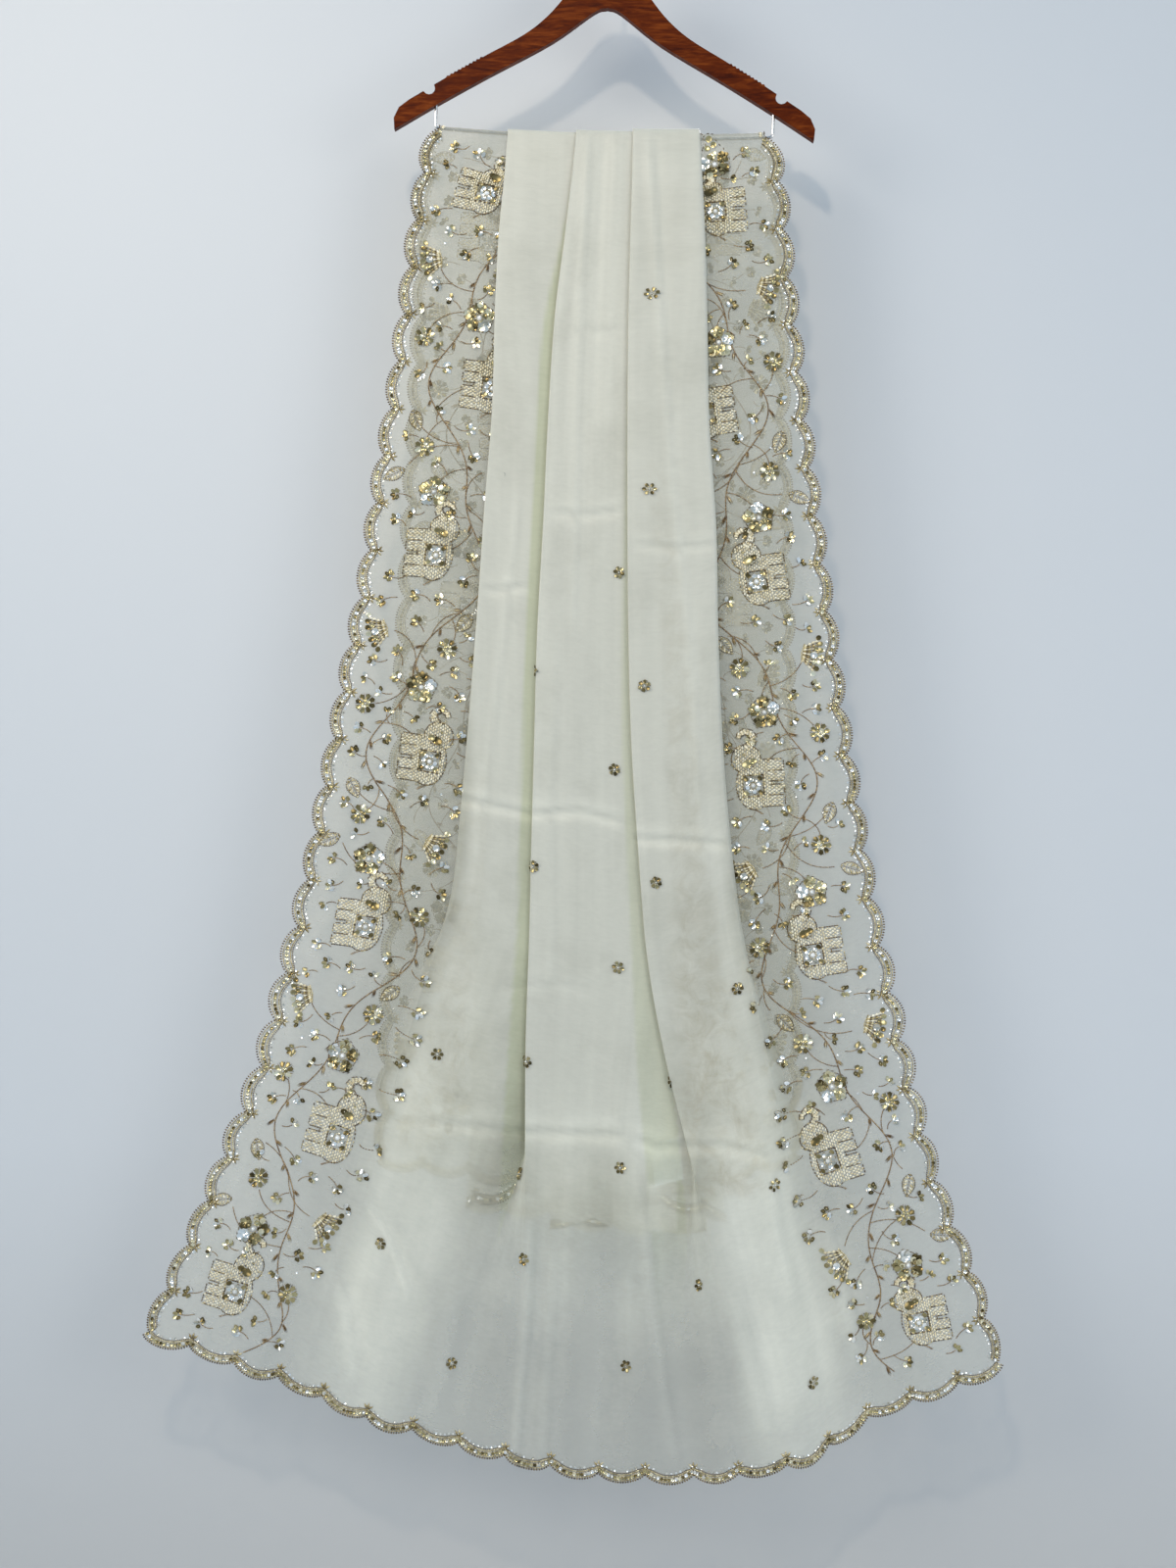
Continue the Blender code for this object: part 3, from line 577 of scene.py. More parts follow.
# The painted light patch, where the label behind the front sheet shows
def lightPatchAt(x, z):
    (left, top), (right, foot) = satin["patch"]
    soft = satin["patchSoft"] * pixelSize
    found = 1
    for inward in (x - pixelX(left), pixelX(right) - x, pixelZ(top) - z, z - pixelZ(foot)):
        found = found * smoothStep(inward / soft + 0.5)
    return found


def paintedLightAt(side, across, level, row, x, z):
    if side == "back":
        return np.full(len(across), satin["plain"])
    # painted highlight along the creases and pleats
    light = satin["crease"] * np.abs(creaseHeight(x, z)) / satin["creaseFull"]
    down = float(smoothStep(level / satin["edgeFull"]))
    # painted highlight beside the edges of two folds
    for fold, near, far in satin["edges"]:
        away = (x - cloth["shift"] - row[fold]) / satin["edgeHalf"]
        light = light + satin["edge"] * down * np.exp(-away ** 2) * (across > near) * (across < far)
    low = smoothStep((level - satin["from"]) / satin["over"])
    # painted highlight at both sides of the open part
    for place in satin["sides"]:
        light = light + satin["bright"] * low * np.exp(-((across - place) / satin["half"]) ** 2)
    # painted light patch
    light = light + satin["patchBright"] * lightPatchAt(x, z)
    # painted light band across the low middle, with painted shade below it
    middle = window(across, *satin["middle"], satin["middleSoft"])
    start, full, leave, end = satin["band"]
    below = smoothStep((level - leave) / (end - leave))
    band = smoothStep((level - start) / (full - start)) * (1 - below)
    return satin["plain"] + light + middle * (satin["raised"] * band + satin["lowered"] * below)


# Where a border of the layers behind shows faintly
hidden = {
    "lines": (  # pixels of the middle from top to bottom, half widths, strengths
        (((668, 470), (682, 600), (692, 720), (700, 860), (712, 1000), (730, 1120), (744, 1215)),
         (9, 12, 14, 16, 26, 34, 36), (0.25, 0.4, 0.5, 0.6, 0.9, 1.0, 0.8)),
        (((498, 740), (486, 840), (470, 950), (452, 1060), (432, 1170)),
         (10, 14, 18, 26, 34), (0.15, 0.3, 0.4, 0.6, 0.5)),
        (((560, 1190), (570, 1235)), (100, 110), (0.1, 0.25)),
    ),
    "topSoft": 0.08, "footSoft": 0.012, "past": 1.5,
}


def hiddenAt(side, x, z):
    found = np.zeros(len(x))
    if side == "back":
        return found
    for line, halves, strengths in hidden["lines"]:
        lineX, lineZ = pixelLine(line)
        half = np.interp(-z, -lineZ, halves) * pixelSize
        away = np.abs(x - np.interp(-z, -lineZ, lineX)) / half
        ends = smoothStep((z - lineZ[-1]) / hidden["footSoft"] + 0.5)
        ends = ends * smoothStep((lineZ[0] - z) / hidden["topSoft"] + 0.5)
        found = np.maximum(found, smoothStep(hidden["past"] - away) * ends * np.interp(-z, -lineZ, strengths))
    return found


def sheetGrid(side, rows):
    places = [step / rows for step in range(rows + 1)]
    if side == "front":
        turnRows = cloth["turnRows"]
        places = [-cloth["turnSpan"] * (1 - step / turnRows) for step in range(turnRows)] + places
    else:
        places[0] = cloth["gap"]
    grid, flat, marks = [], [], {"packed": [], "recess": [], "satin": [], "hidden": []}
    for level, corner in [(place, 1.0) for place in places] + list(edging["hemLevels"]):
        inside = min(level, 1.0)
        down = max(inside, 0)
        row = levelRow(side, inside)
        left, right = (edgeWidth(side, edge, down) * corner for edge in ("left", "right"))
        width = cloth["width"]
        across = np.concatenate([[-left, -left / 2], sectionLine(row)[1], [width + right / 2, width + right]])
        if level > 1:
            line = np.stack([
                fallPoints(side, 1 + (level - 1) * beyond / fall, [place])[0]
                for place, beyond, fall in zip(across, edgeWidth(side, "hem", across), hemDrop(side, across))
            ])
        else:
            line = fallPoints(side, level, across)
        x, z = line[:, 0], line[:, 2]
        grid.append(line)
        flat.append(np.stack([across, np.full(len(across), level * cloth["textureFall"])], 1))
        marks["packed"].append(packedAt(side, across, down))
        # painted shade in the fold recesses, left out under the painted light patch
        strips = recessShadeAt(side, across, x - cloth["shift"], row, down)
        marks["recess"].append(strips * (1 - lightPatchAt(x, z)))
        marks["satin"].append(paintedLightAt(side, across, down, row, x, z))
        marks["hidden"].append(hiddenAt(side, x, z))
    return np.array(grid), np.array(flat), {name: np.array(values) for name, values in marks.items()}


def gridObject(name, points, flat, marks, material):
    rows, columns = points.shape[:2]
    corner = (np.arange(rows - 1)[:, None] * columns + np.arange(columns - 1)[None, :]).ravel()
    faces = np.stack([corner, corner + columns, corner + columns + 1, corner + 1], 1)
    mesh = bpy.data.meshes.new(name)
    mesh.from_pydata(points.reshape(-1, 3).tolist(), [], faces.tolist())
    layer = mesh.uv_layers.new(name="UVMap")
    layer.data.foreach_set("uv", flat.reshape(-1, 2)[faces.ravel()].ravel())
    for mark, values in marks.items():
        mesh.attributes.new(mark, "FLOAT", "POINT").data.foreach_set("value", values.ravel())
    mesh.materials.append(material)
    mesh.shade_smooth()
    return linkObject(name, mesh)


# Sheer cloth finish, thinner where it is a single layer, with painted shade in its colour there and painted
# light where it is packed
sheer = {
    "thinShadedColor": (0.515, 0.500, 0.400), "packedLitColor": (0.580, 0.565, 0.478),
    "recessShadeColor": (0.500, 0.505, 0.355), "behindColor": (0.34, 0.29, 0.19), "behind": 0.40,
    "thinAlpha": 0.36, "packedAlpha": 0.88, "edgeAlpha": 0.42, "edgeBlend": 0.35, "fleck": 0.12,
    "roughness": 0.40, "sheen": 0.2, "sheenRoughness": 0.4, "specular": 0.3,
    "crepeScale": (90.0, 260.0, 1.0), "crepe": 0.22, "crepeDepth": 0.0009,
    # streak and crumple are painted light and shade; cloud also paints soft patches through the packing
    "cloudScale": 11.0, "cloud": 0.80, "streakScale": (75.0, 2.6, 1.0), "paintedStreak": 0.16,
    "crumpleScale": 17.0, "paintedCrumple": 0.30, "blotScale": 42.0, "blotFrom": 0.40, "blotGain": 4.0,
    "blotBase": 0.25,
}


def buildSheer(name):
    material, tree, shader = newMaterial(name, sheer["packedLitColor"], sheer["roughness"], **{
        "Sheen Weight": sheer["sheen"], "Sheen Roughness": sheer["sheenRoughness"],
        "Specular IOR Level": sheer["specular"],
    })
    place = tree.nodes.new("ShaderNodeUVMap").outputs["UV"]
    crepe = addNoise(tree, stretchPlace(tree, place, sheer["crepeScale"]), 1.0, 3.0, 0.6, 0.6)
    cloud = addNoise(tree, place, sheer["cloudScale"], 4.0, 0.6)
    own = readMark(tree, "packed")
    # cloudy change of the packing: it moves the see-through, and paints soft light and dark patches into the
    # colour
    spread = addMath(tree, "MULTIPLY_ADD", cloud, sheer["cloud"], -sheer["cloud"] / 2)
    packed = addMath(tree, "ADD", own, spread, clamp=True)
    # painted light and shade: darker colour where the cloth is thin, lighter where it is packed
    color = colorRamp(tree, packed, ((0.0, sheer["thinShadedColor"]), (1.0, sheer["packedLitColor"])))
    # olive painted shade where the cloth goes in under a fold
    color = mixColor(tree, readMark(tree, "recess"), color, sheer["recessShadeColor"])
    # work on the layers behind, seen faintly
    blots = addNoise(tree, place, sheer["blotScale"], 5.0, 0.65, 0.9)
    blots = addMath(tree, "SUBTRACT", blots, sheer["blotFrom"])
    blots = addMath(tree, "MULTIPLY", blots, sheer["blotGain"], clamp=True)
    blots = addMath(tree, "ADD", blots, sheer["blotBase"])
    blots = addMath(tree, "MULTIPLY", blots, readMark(tree, "hidden"))
    blots = addMath(tree, "MULTIPLY", blots, sheer["behind"], clamp=True)
    color = mixColor(tree, blots, color, sheer["behindColor"])
    # painted light and shade: streaks down the cloth, crumples where it is open, and the sheet's own painted
    # light mark
    paintedStreaks = addNoise(tree, stretchPlace(tree, place, sheer["streakScale"]), 1.0, 3.0)
    paintedStreaks = addMath(tree, "MULTIPLY", addMath(tree, "SUBTRACT", paintedStreaks, 0.5), sheer["paintedStreak"])
    opened = addMath(tree, "SUBTRACT", 1.0, own, clamp=True)
    paintedCrumples = addNoise(tree, place, sheer["crumpleScale"], 3.0, distortion=1.4)
    paintedCrumples = addMath(tree, "MULTIPLY", addMath(tree, "SUBTRACT", paintedCrumples, 0.5), opened)
    paintedCrumples = addMath(tree, "MULTIPLY", paintedCrumples, sheer["paintedCrumple"])
    light = addMath(tree, "ADD", addMath(tree, "ADD", paintedCrumples, paintedStreaks), readMark(tree, "satin"))
    scaled = addNode(tree, "ShaderNodeVectorMath", operation="SCALE")
    tree.links.new(color, scaled.inputs[0])
    tree.links.new(addMath(tree, "ADD", light, 1 - satin["plain"]), scaled.inputs["Scale"])
    tree.links.new(scaled.outputs["Vector"], shader.inputs["Base Color"])
    addBump(tree, shader, crepe, sheer["crepe"], sheer["crepeDepth"])
    facing = addNode(tree, "ShaderNodeLayerWeight", Blend=sheer["edgeBlend"]).outputs["Facing"]
    alpha = addMath(tree, "MULTIPLY_ADD", packed, sheer["packedAlpha"] - sheer["thinAlpha"],
                    sheer["thinAlpha"] - sheer["fleck"] / 2)
    alpha = addMath(tree, "MULTIPLY_ADD", crepe, sheer["fleck"], alpha)
    alpha = addMath(tree, "MULTIPLY_ADD", facing, sheer["edgeAlpha"], alpha, clamp=True)
    tree.links.new(alpha, shader.inputs["Alpha"])
    return material


# Points of each sheet on an even net, for the work that is sewn to it
net = {"start": -0.024, "step": 0.002, "levelStep": 1 / 340, "turnRows": 4, "hemRows": 6}


def buildNet(side):
    count = round((cloth["width"] - 2 * net["start"]) / net["step"]) + 1
    across = net["start"] + net["step"] * np.arange(count)
    first = -net["turnRows"] if side == "front" else 0
    places = net["levelStep"] * np.arange(first, round(1 / net["levelStep"]) + net["hemRows"] + 1)
    points = np.array([fallPoints(side, place, across) for place in places])
    normals = np.cross(np.gradient(points, axis=1), np.gradient(points, axis=0))
    normals *= -1 if side == "front" else 1
    normals /= np.linalg.norm(normals, axis=2, keepdims=True)
    return {"levels": places, "across": across, "points": points, "normals": normals}


def onSheet(side, across, level):
    grid = nets[side]
    rows, columns = grid["points"].shape[:2]
    column = np.clip((across - net["start"]) / net["step"], 0, columns - 1.001)
    row = np.clip((level - grid["levels"][0]) / net["levelStep"], 0, rows - 1.001)
    left, top = column.astype(int), row.astype(int)
    acrossShare, downShare = (column - left)[:, None], (row - top)[:, None]
    found = []
    for values in (grid["points"], grid["normals"]):
        upper = values[top, left] * (1 - acrossShare) + values[top, left + 1] * acrossShare
        lower = values[top + 1, left] * (1 - acrossShare) + values[top + 1, left + 1] * acrossShare
        found.append(upper * (1 - downShare) + lower * downShare)
    normal = found[1] / np.linalg.norm(found[1], axis=1, keepdims=True)
    return found[0], normal


# Distance in from an edge (u) and along it from the bar (r), turned into places on the cloth
border = {"near": 0.06, "far": 0.10}


def netColumn(across):
    return int(round((across - net["start"]) / net["step"]))


# How far the net's own lines lean at a side edge, so that work there stands square to it
def borderSlant(side, edge):
    grid = nets[side]
    rim, inward = (0, 1) if edge == "left" else (cloth["width"], -1)
    near, far = (netColumn(rim + inward * border[place]) for place in ("near", "far"))
    way = (grid["points"][:, far] - grid["points"][:, near]) / (border["far"] - border["near"])
    down = np.gradient(grid["points"][:, netColumn(rim)], axis=0) / net["levelStep"]
    fall = np.linalg.norm(down, axis=1)
    along = (way * down).sum(1) / fall
    stretch = 1 / np.sqrt((way ** 2).sum(1) - along ** 2)
    return grid["levels"], stretch, -stretch * along / fall


def edgePlace(side, edge, u, r):
    if edge == "field":
        return u, r
    steps, lengths = edges[side, edge]
    past = np.minimum(r, 0) + np.maximum(r - lengths[-1], 0)
    place = np.interp(r, lengths, steps)
    if edge == "hem":
        across = place + past
        return across, 1 - u / hemDrop(side, across)
    level = place + past / lengths[-1]
    places, stretch, shift = slants[side, edge]
    inset = u * np.interp(level, places, stretch)
    across = inset if edge == "left" else cloth["width"] - inset
    return across, level + np.maximum(u, 0) * np.interp(level, places, shift)


# Shapes that are laid by the thousand: points along, across and out, and triangles
def fanFaces(count, first, centre):
    return [(centre, first + index, first + (index + 1) % count) for index in range(count)]


def ringPoints(count, half, height):
    return [(half * math.cos(angle), half * math.sin(angle), height)
            for angle in np.linspace(0, 2 * math.pi, count + 1)[:-1]]


def buildShapes():
    ends = [(-0.5, 0, 0.3), (0, -0.5, 0.3), (0.5, 0, 0.3), (0, 0.5, 0.3), (0, 0, 1.0), (0, 0, -0.1)]
    table = [(x * 0.55, y * 0.55, 0.85) for x, y, _ in ringPoints(8, 0.5, 0)]
    girdle = []
    for index in range(8):
        after = (index + 1) % 8
        girdle += [(index, after, 8 + after), (index, 8 + after, 8 + index)]
    shapes = {
        "grain": (ends, fanFaces(4, 0, 4) + [face[::-1] for face in fanFaces(4, 0, 5)]),
        "sequin": (ringPoints(8, 0.5, 1.0) + [(0, 0, 0.3)], fanFaces(8, 0, 8)),
        "stone": (ringPoints(8, 0.5, 0.0) + table + [(0, 0, 1.0)], girdle + fanFaces(8, 8, 16)),
    }
    return {name: (np.array(points, float), np.array(faces)) for name, (points, faces) in shapes.items()}


mm = 0.001
sewing = {"near": 0.0004, "sequinTilt": 0.34}


# A motif is a list of stitches in millimetres: shape, tone, x, y, angle, length, width, height
def layMotif(work, motif, u, r, turn=0.0, size=1.0):
    cosine, sine = math.cos(turn), math.sin(turn)
    scale = size * mm
    for shape, tone, x, y, angle, length, width, height in motif:
        work.append((shape, tone, u + (x * sine + y * cosine) * scale, r - (x * cosine - y * sine) * scale,
                     angle + turn, length * scale, width * scale, height * scale))


def runStitches(work, line, tone, pitch=1.9, length=3.0, width=1.35, height=0.9, slant=0.16):
    line = np.array(line, float)
    lengths = runningLengths(line)
    count = max(int(lengths[-1] / (pitch * mm)), 1)
    for index in range(count):
        at = lengths[-1] * (index + 0.5) / count
        u, r = pointAt(line, lengths, at)
        uNext, rNext = pointAt(line, lengths, at + sewing["near"])
        uLast, rLast = pointAt(line, lengths, at - sewing["near"])
        angle = math.atan2(uNext - uLast, -(rNext - rLast)) + (slant if index % 2 else -slant)
        work.append(("grain", tone, u, r, angle, length * mm, width * mm, height * mm))


# Every stitch of one shape at once: its points on the cloth, along its own thread and out from it
def placeStitches(side, edge, rows, form, tilt):
    u, r, angle, length, width, height = np.array([row[2:] for row in rows]).T
    centre, normal = onSheet(side, *edgePlace(side, edge, u, r))
    step = mm / field["fall"] if edge == "field" else mm
    ahead, _ = onSheet(side, *edgePlace(side, edge, u + np.sin(angle) * mm, r - np.cos(angle) * step))
    forward = ahead - centre
    forward -= (forward * normal).sum(1, keepdims=True) * normal
    forward /= np.linalg.norm(forward, axis=1, keepdims=True)
    sideways = np.cross(normal, forward)
    rise = form[None, :, 2] * height[:, None] + edging["lift"]
    for axis, size in enumerate((length, width)):
        lean = size * tilt[:, axis]
        rise = rise + form[None, :, axis] * lean[:, None] + (np.abs(lean) / 2)[:, None]
    return (centre[:, None] + forward[:, None] * (form[None, :, 0] * length[:, None])[..., None]
            + sideways[:, None] * (form[None, :, 1] * width[:, None])[..., None]
            + normal[:, None] * rise[..., None])


def layWork(name, side, edge, work, seed):
    draw = np.random.default_rng(seed)
    tones = list(toneLook)
    points, faces, tonesUsed, shades = [], [], [], []
    offset = 0
    for shape, (form, triangles) in shapes.items():
        rows = [row for row in work if row[0] == shape]
        if not rows:
            continue
        tilt = np.zeros((len(rows), 2))
        if shape == "sequin":
            tilt = draw.uniform(-sewing["sequinTilt"], sewing["sequinTilt"], tilt.shape)
        points.append(placeStitches(side, edge, rows, form, tilt).reshape(-1, 3))
        firsts = offset + np.arange(len(rows)) * len(form)
        faces.append((triangles[None] + firsts[:, None, None]).reshape(-1, 3))
        tonesUsed.append(np.repeat([tones.index(row[1]) for row in rows], len(triangles)))
        shades.append(np.repeat(draw.random(len(rows)), len(triangles)))
        offset += len(rows) * len(form)
    points, faces = np.concatenate(points), np.concatenate(faces)
    mesh = bpy.data.meshes.new(name)
    mesh.vertices.add(len(points))
    mesh.vertices.foreach_set("co", points.ravel())
    mesh.loops.add(faces.size)
    mesh.loops.foreach_set("vertex_index", faces.ravel())
    mesh.polygons.add(len(faces))
    mesh.polygons.foreach_set("loop_start", np.arange(len(faces)) * 3)
    mesh.polygons.foreach_set("material_index", np.concatenate(tonesUsed))
    mesh.update(calc_edges=True)
    mesh.attributes.new("shade", "FLOAT", "FACE").data.foreach_set("value", np.concatenate(shades))
    for tone in tones:
        mesh.materials.append(toneMaterials[tone])
    made = linkObject(name, mesh)
    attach(made, "root")
    sewnPieces[side].append(made)
    print(name, len(faces), "triangles")
    return made


# Motifs, in millimetres from their own middle
crossways = 1.57             # turn of a stitch that lies across


def polar(out, angle, x=0.0, y=0.0):
    return x + out * math.cos(angle), y + out * math.sin(angle)


def circleOf(shape, tone, count, radius, size, start=0.0, x=0.0, y=0.0, turn=math.pi / 2):
    angles = [start + 2 * math.pi * index / count for index in range(count)]
    return [(shape, tone, *polar(radius, angle, x, y), angle + turn, *size) for angle in angles]


flower = {
    "petals": 5, "stray": 0.06, "sameTone": 0.85,
    "sequins": (  # distance out, spread, size
        (9.6, -0.30, 5.4), (9.6, 0.30, 5.4), (11.0, 0.0, 5.6), (6.8, -0.26, 5.2), (6.8, 0.26, 5.2),
        (5.0, 0.0, 4.4),
    ),
    "rim": (-0.55, -0.28, 0.0, 0.28, 0.55), "rimOut": 14.0, "rimDrop": 4.2,
}


def flowerMotif(draw):
    motif = []
    bright = draw.randrange(flower["petals"])
    for petal in range(flower["petals"]):
        angle = petal * 2 * math.pi / flower["petals"] + draw.uniform(-flower["stray"], flower["stray"])
        tone = "silverSequin" if petal == bright else draw.choice(("darkSequin", "darkSequin", "goldSequin"))
        for out, spread, size in flower["sequins"]:
            motif.append(("sequin", tone if draw.random() < flower["sameTone"] else "goldSequin",
                          *polar(out, angle + spread), angle, size, size, 0.7 + 0.1 * (12 - out)))
        for spread in flower["rim"]:
            out = flower["rimOut"] - flower["rimDrop"] * abs(spread)
            motif.append(("grain", "darkThread", *polar(out, angle + spread), angle + spread + crossways,
                          3.4, 0.9, 0.9))
    motif += circleOf("grain", "goldThread", 10, 3.3, (2.4, 1.3, 2.2))
    motif.append(("stone", "stone", 0, 0, 0, 4.6, 4.6, 2.6))
    return motif


def rosetteMotif(draw):
    motif = []
    turn = draw.uniform(0, 0.7)
    for petal in range(8):
        angle = turn + petal * math.pi / 4
        tone = draw.choice(("darkSequin", "darkSequin", "goldSequin"))
        motif.append(("sequin", tone, *polar(6.4, angle), angle, 5.8, 4.2, 0.9))
        for lean in (-0.26, 0.26):
            motif.append(("grain", "darkThread", *polar(7.4, angle + lean), angle + lean * 1.8,
                          4.6, 0.9, 1.0))
    motif += circleOf("sequin", "goldSequin", 5, 2.8, (3.4, 3.4, 1.5), draw.uniform(0, 0.9))
    motif += circleOf("grain", "goldThread", 6, 1.4, (2.4, 1.2, 2.2), turn=0)
    motif.append(("stone", "silverSequin", 0, 0, 0, 2.6, 2.6, 2.6))
    return motif


def sprigMotif(draw):
    motif = circleOf("sequin", "darkSequin", 6, 4.4, (4.4, 3.8, 0.7), draw.uniform(0, 0.9), turn=0)
    motif += circleOf("grain", "darkThread", 6, 5.6, (2.6, 0.9, 0.9), 0.5)
    motif += circleOf("grain", "goldThread", 6, 2.6, (2.6, 1.2, 1.5), 0.5, turn=0)
    motif.append(("stone", "silverSequin", 0, 0, 0, 2.8, 2.8, 2.0))
    return motif


lotus = {"petals": 9, "lean": 0.62, "spread": 5.0, "back": -2, "threads": (2.0, 5.6, 9.2, 12.4),
         "betweenTurn": 0.078, "between": (4.0, 8.4, 12.2), "tips": 7, "tipLean": 0.75, "tipOut": 15.0,
         "foot": 11}


def lotusMotif(draw):
    motif = []
    back, spread = lotus["back"], lotus["spread"]
    for index in range(lotus["petals"]):
        lean = index / 4 - 1
        angle = lean * lotus["lean"]
        for out in lotus["threads"]:
            motif.append(("grain", "goldThread" if index % 2 else "creamThread",
                          *polar(out, angle, back, lean * spread), angle, 5.2, 2.5, 1.4))
        if index < lotus["petals"] - 1:
            angle += lotus["betweenTurn"]
            for out in lotus["between"]:
                motif.append(("grain", "darkThread", *polar(out, angle, back, (lean + 0.125) * spread), angle,
                              4.4, 0.7, 1.2))
    for index in range(lotus["tips"]):
        lean = index / 3 - 1
        angle = lean * lotus["tipLean"]
        motif.append(("sequin", draw.choice(("goldSequin", "darkSequin")),
                      *polar(lotus["tipOut"], angle, back, lean * spread), angle, 4.8, 4.4, 0.9))
    motif.append(("sequin", "silverSequin", 7.5, 0, 0, 6.0, 6.0, 2.4))
    motif += [("sequin", "goldSequin", 8.5, lean * 5.6, 0, 4.0, 4.0, 2.0) for lean in (-1, 1)]
    for index in range(lotus["foot"]):
        lean = index / 5 - 1
        for out, tone in ((0.0, "goldThread"), (2.6, "darkThread")):
            motif.append(("grain", tone, out - 2.8 + abs(lean) * 1.2, lean * 7.0, 1.5, 2.6, 1.2, 1.2))
    return motif


leaf = {"length": 23.0, "width": 13.0, "steps": 11, "ahead": 0.04, "veins": 6, "veinFrom": 0.14,
        "veinStep": 0.13, "rib": 7, "tipward": 0.85, "full": 0.9}


def leafHalf(share, power):
    return leaf["width"] / 2 * math.sin(math.pi * share ** leaf["tipward"]) ** power


def leafMotif(_):
    motif = []
    length, steps, ahead = leaf["length"], leaf["steps"], leaf["ahead"]
    for side in (-1, 1):
        for index in range(steps):
            share = (index + 0.5) / steps
            y, yAhead = (side * leafHalf(place, leaf["full"]) for place in (share, min(share + ahead, 1)))
            for lift, tone, size in ((0.0, "darkThread", 1.0), (-1.3, "goldThread", 1.4)):
                motif.append(("grain", tone, share * length, y + side * lift,
                              math.atan2(yAhead - y, ahead * length), length / steps * 1.4, size, 1.1))
        for index in range(leaf["veins"]):
            share = leaf["veinFrom"] + leaf["veinStep"] * index
            half = leafHalf(share, 1) * 0.5
            motif.append(("grain", "creamThread" if index % 2 else "goldThread",
                          share * length + half * 0.7, side * half, side * 0.9, half * 2.1, 2.0, 1.1))
    for index in range(leaf["rib"]):
        motif.append(("grain", "darkThread", (index + 0.5) * length / 7.4, 0, 0, 3.8, 0.9, 1.5))
    return motif


def thinLeafMotif(draw, length):
    motif = [("grain", "stemThread", length * 0.45, side * 0.9, side * 0.06, length * 0.85, 1.5, 0.8)
             for side in (-1, 1)]
    motif.append(("grain", draw.choice(("goldThread", "darkThread")), length * 0.5, 0, 0, length, 1.0, 1.1))
    return motif


bud = {"stitch": 1.8, "curl": (0.25, 0.6), "lean": 0.95, "out": 4.2, "tipOut": 3.4, "sepal": 1.7,
       "tones": ("goldSequin", "darkSequin", "darkSequin", "silverSequin")}


# A curling stalk with a bud at its tip and the others in pairs beside it
def budsMotif(draw, reach, count):
    motif = []
    curl = draw.choice((-1, 1)) * draw.uniform(*bud["curl"])
    steps = int(reach / bud["stitch"])
    heading, x, y, places = -curl, 0.0, 0.0, []
    for _ in range(steps):
        motif.append(("grain", "stemThread", x, y, heading, 3.0, 1.25, 0.9))
        x, y = polar(bud["stitch"], heading, x, y)
        heading += 2 * curl / steps
        places.append((x, y, heading))
    buds = [(places[-1], 0.0, bud["tipOut"])]
    for index in range(count - 1):
        lean = bud["lean"] if index % 2 else -bud["lean"]
        buds.append((places[-1 - 2 * (index // 2)], lean, bud["out"]))
    for (x, y, heading), lean, out in buds:
        angle = heading + lean
        middle = polar(out, angle, x, y)
        motif.append(("sequin", draw.choice(bud["tones"]), *middle, angle, 6.0, 4.0, 0.9))
        for side in (-1, 1):
            off = side * bud["sepal"]
            motif.append(("grain", "darkThread", middle[0] - off * math.sin(angle),
                          middle[1] + off * math.cos(angle), angle - side * 0.30, 5.0, 0.8, 1.0))
        motif.append(("grain", "goldThread", *middle, angle, 3.2, 1.4, 1.9))
    return motif


elephant = {
    "ovals": ((0.0, 4.0, 18.5, 13.0), (19.5, 9.5, 10.0, 10.5)), "ovalStitches": 44, "ovalRim": 1.05,
    "legs": ((-13.2, 7.6), (-4.8, 7.0), (5.6, 7.0), (14.0, 7.6)), "legTop": 2.0, "legFoot": -18.0,
    "left": -18.0, "right": 29, "top": 18, "rowPitch": 1.75, "grainPitch": 2.6, "legStitches": -6,
    "strayX": 0.3, "strayY": 0.2, "roll": 0.12, "rollTurns": 0.2, "lean": 0.25, "grain": (3.0, 1.75, 1.5),
    "trunk": ((27, 8), (31, 4.5), (34.5, 3.0), (38, 5.0), (39.5, 9.5), (37.5, 13.5), (34, 15)),
    "trunkWidth": 3.4, "trunkTaper": 0.09, "trunkRuns": (
        (-1.0, "darkThread", 0.9), (-0.5, "creamThread", 1.9), (0.0, "creamThread", 1.9),
        (0.5, "creamThread", 1.9), (1.0, "darkThread", 0.9),
    ),
    "saddle": (-1.0, 5.0, 8.0), "saddleStitches": 9, "saddleCorner": 5.4,
    "ear": ((6.4, 0.0), (4.8, 4.4)), "eye": (22.5, 11.5), "crown": (13, 18.5), "tailStitches": 7,
}


def inElephant(x, y):
    for middleX, middleY, halfX, halfY in elephant["ovals"]:
        if ((x - middleX) / halfX) ** 2 + ((y - middleY) / halfY) ** 2 < 1:
            return True
    if elephant["legFoot"] < y < elephant["legTop"]:
        return any(abs(x - middle) < width / 2 for middle, width in elephant["legs"])
    return False


def elephantBody(draw):
    motif = []
    saddleX, saddleY, half = elephant["saddle"]
    row, y = 0, elephant["legFoot"]
    while y < elephant["top"]:
        x = elephant["left"] + (row % 2) * elephant["grainPitch"] / 2
        while x < elephant["right"]:
            atX = x + draw.uniform(-elephant["strayX"], elephant["strayX"])
            atY = y + draw.uniform(-elephant["strayY"], elephant["strayY"])
            onSaddle = abs(atX - saddleX) < half and abs(atY - saddleY) < half
            if inElephant(atX, atY) and not onSaddle:
                angle = crossways
                if atY >= elephant["legStitches"]:
                    angle = elephant["roll"] * math.sin(atX * elephant["rollTurns"])
                    angle += draw.uniform(-elephant["lean"], elephant["lean"])
                motif.append(("grain", "creamThread", atX, atY, angle, *elephant["grain"]))
            x += elephant["grainPitch"]
        y += elephant["rowPitch"]
        row += 1
    return motif


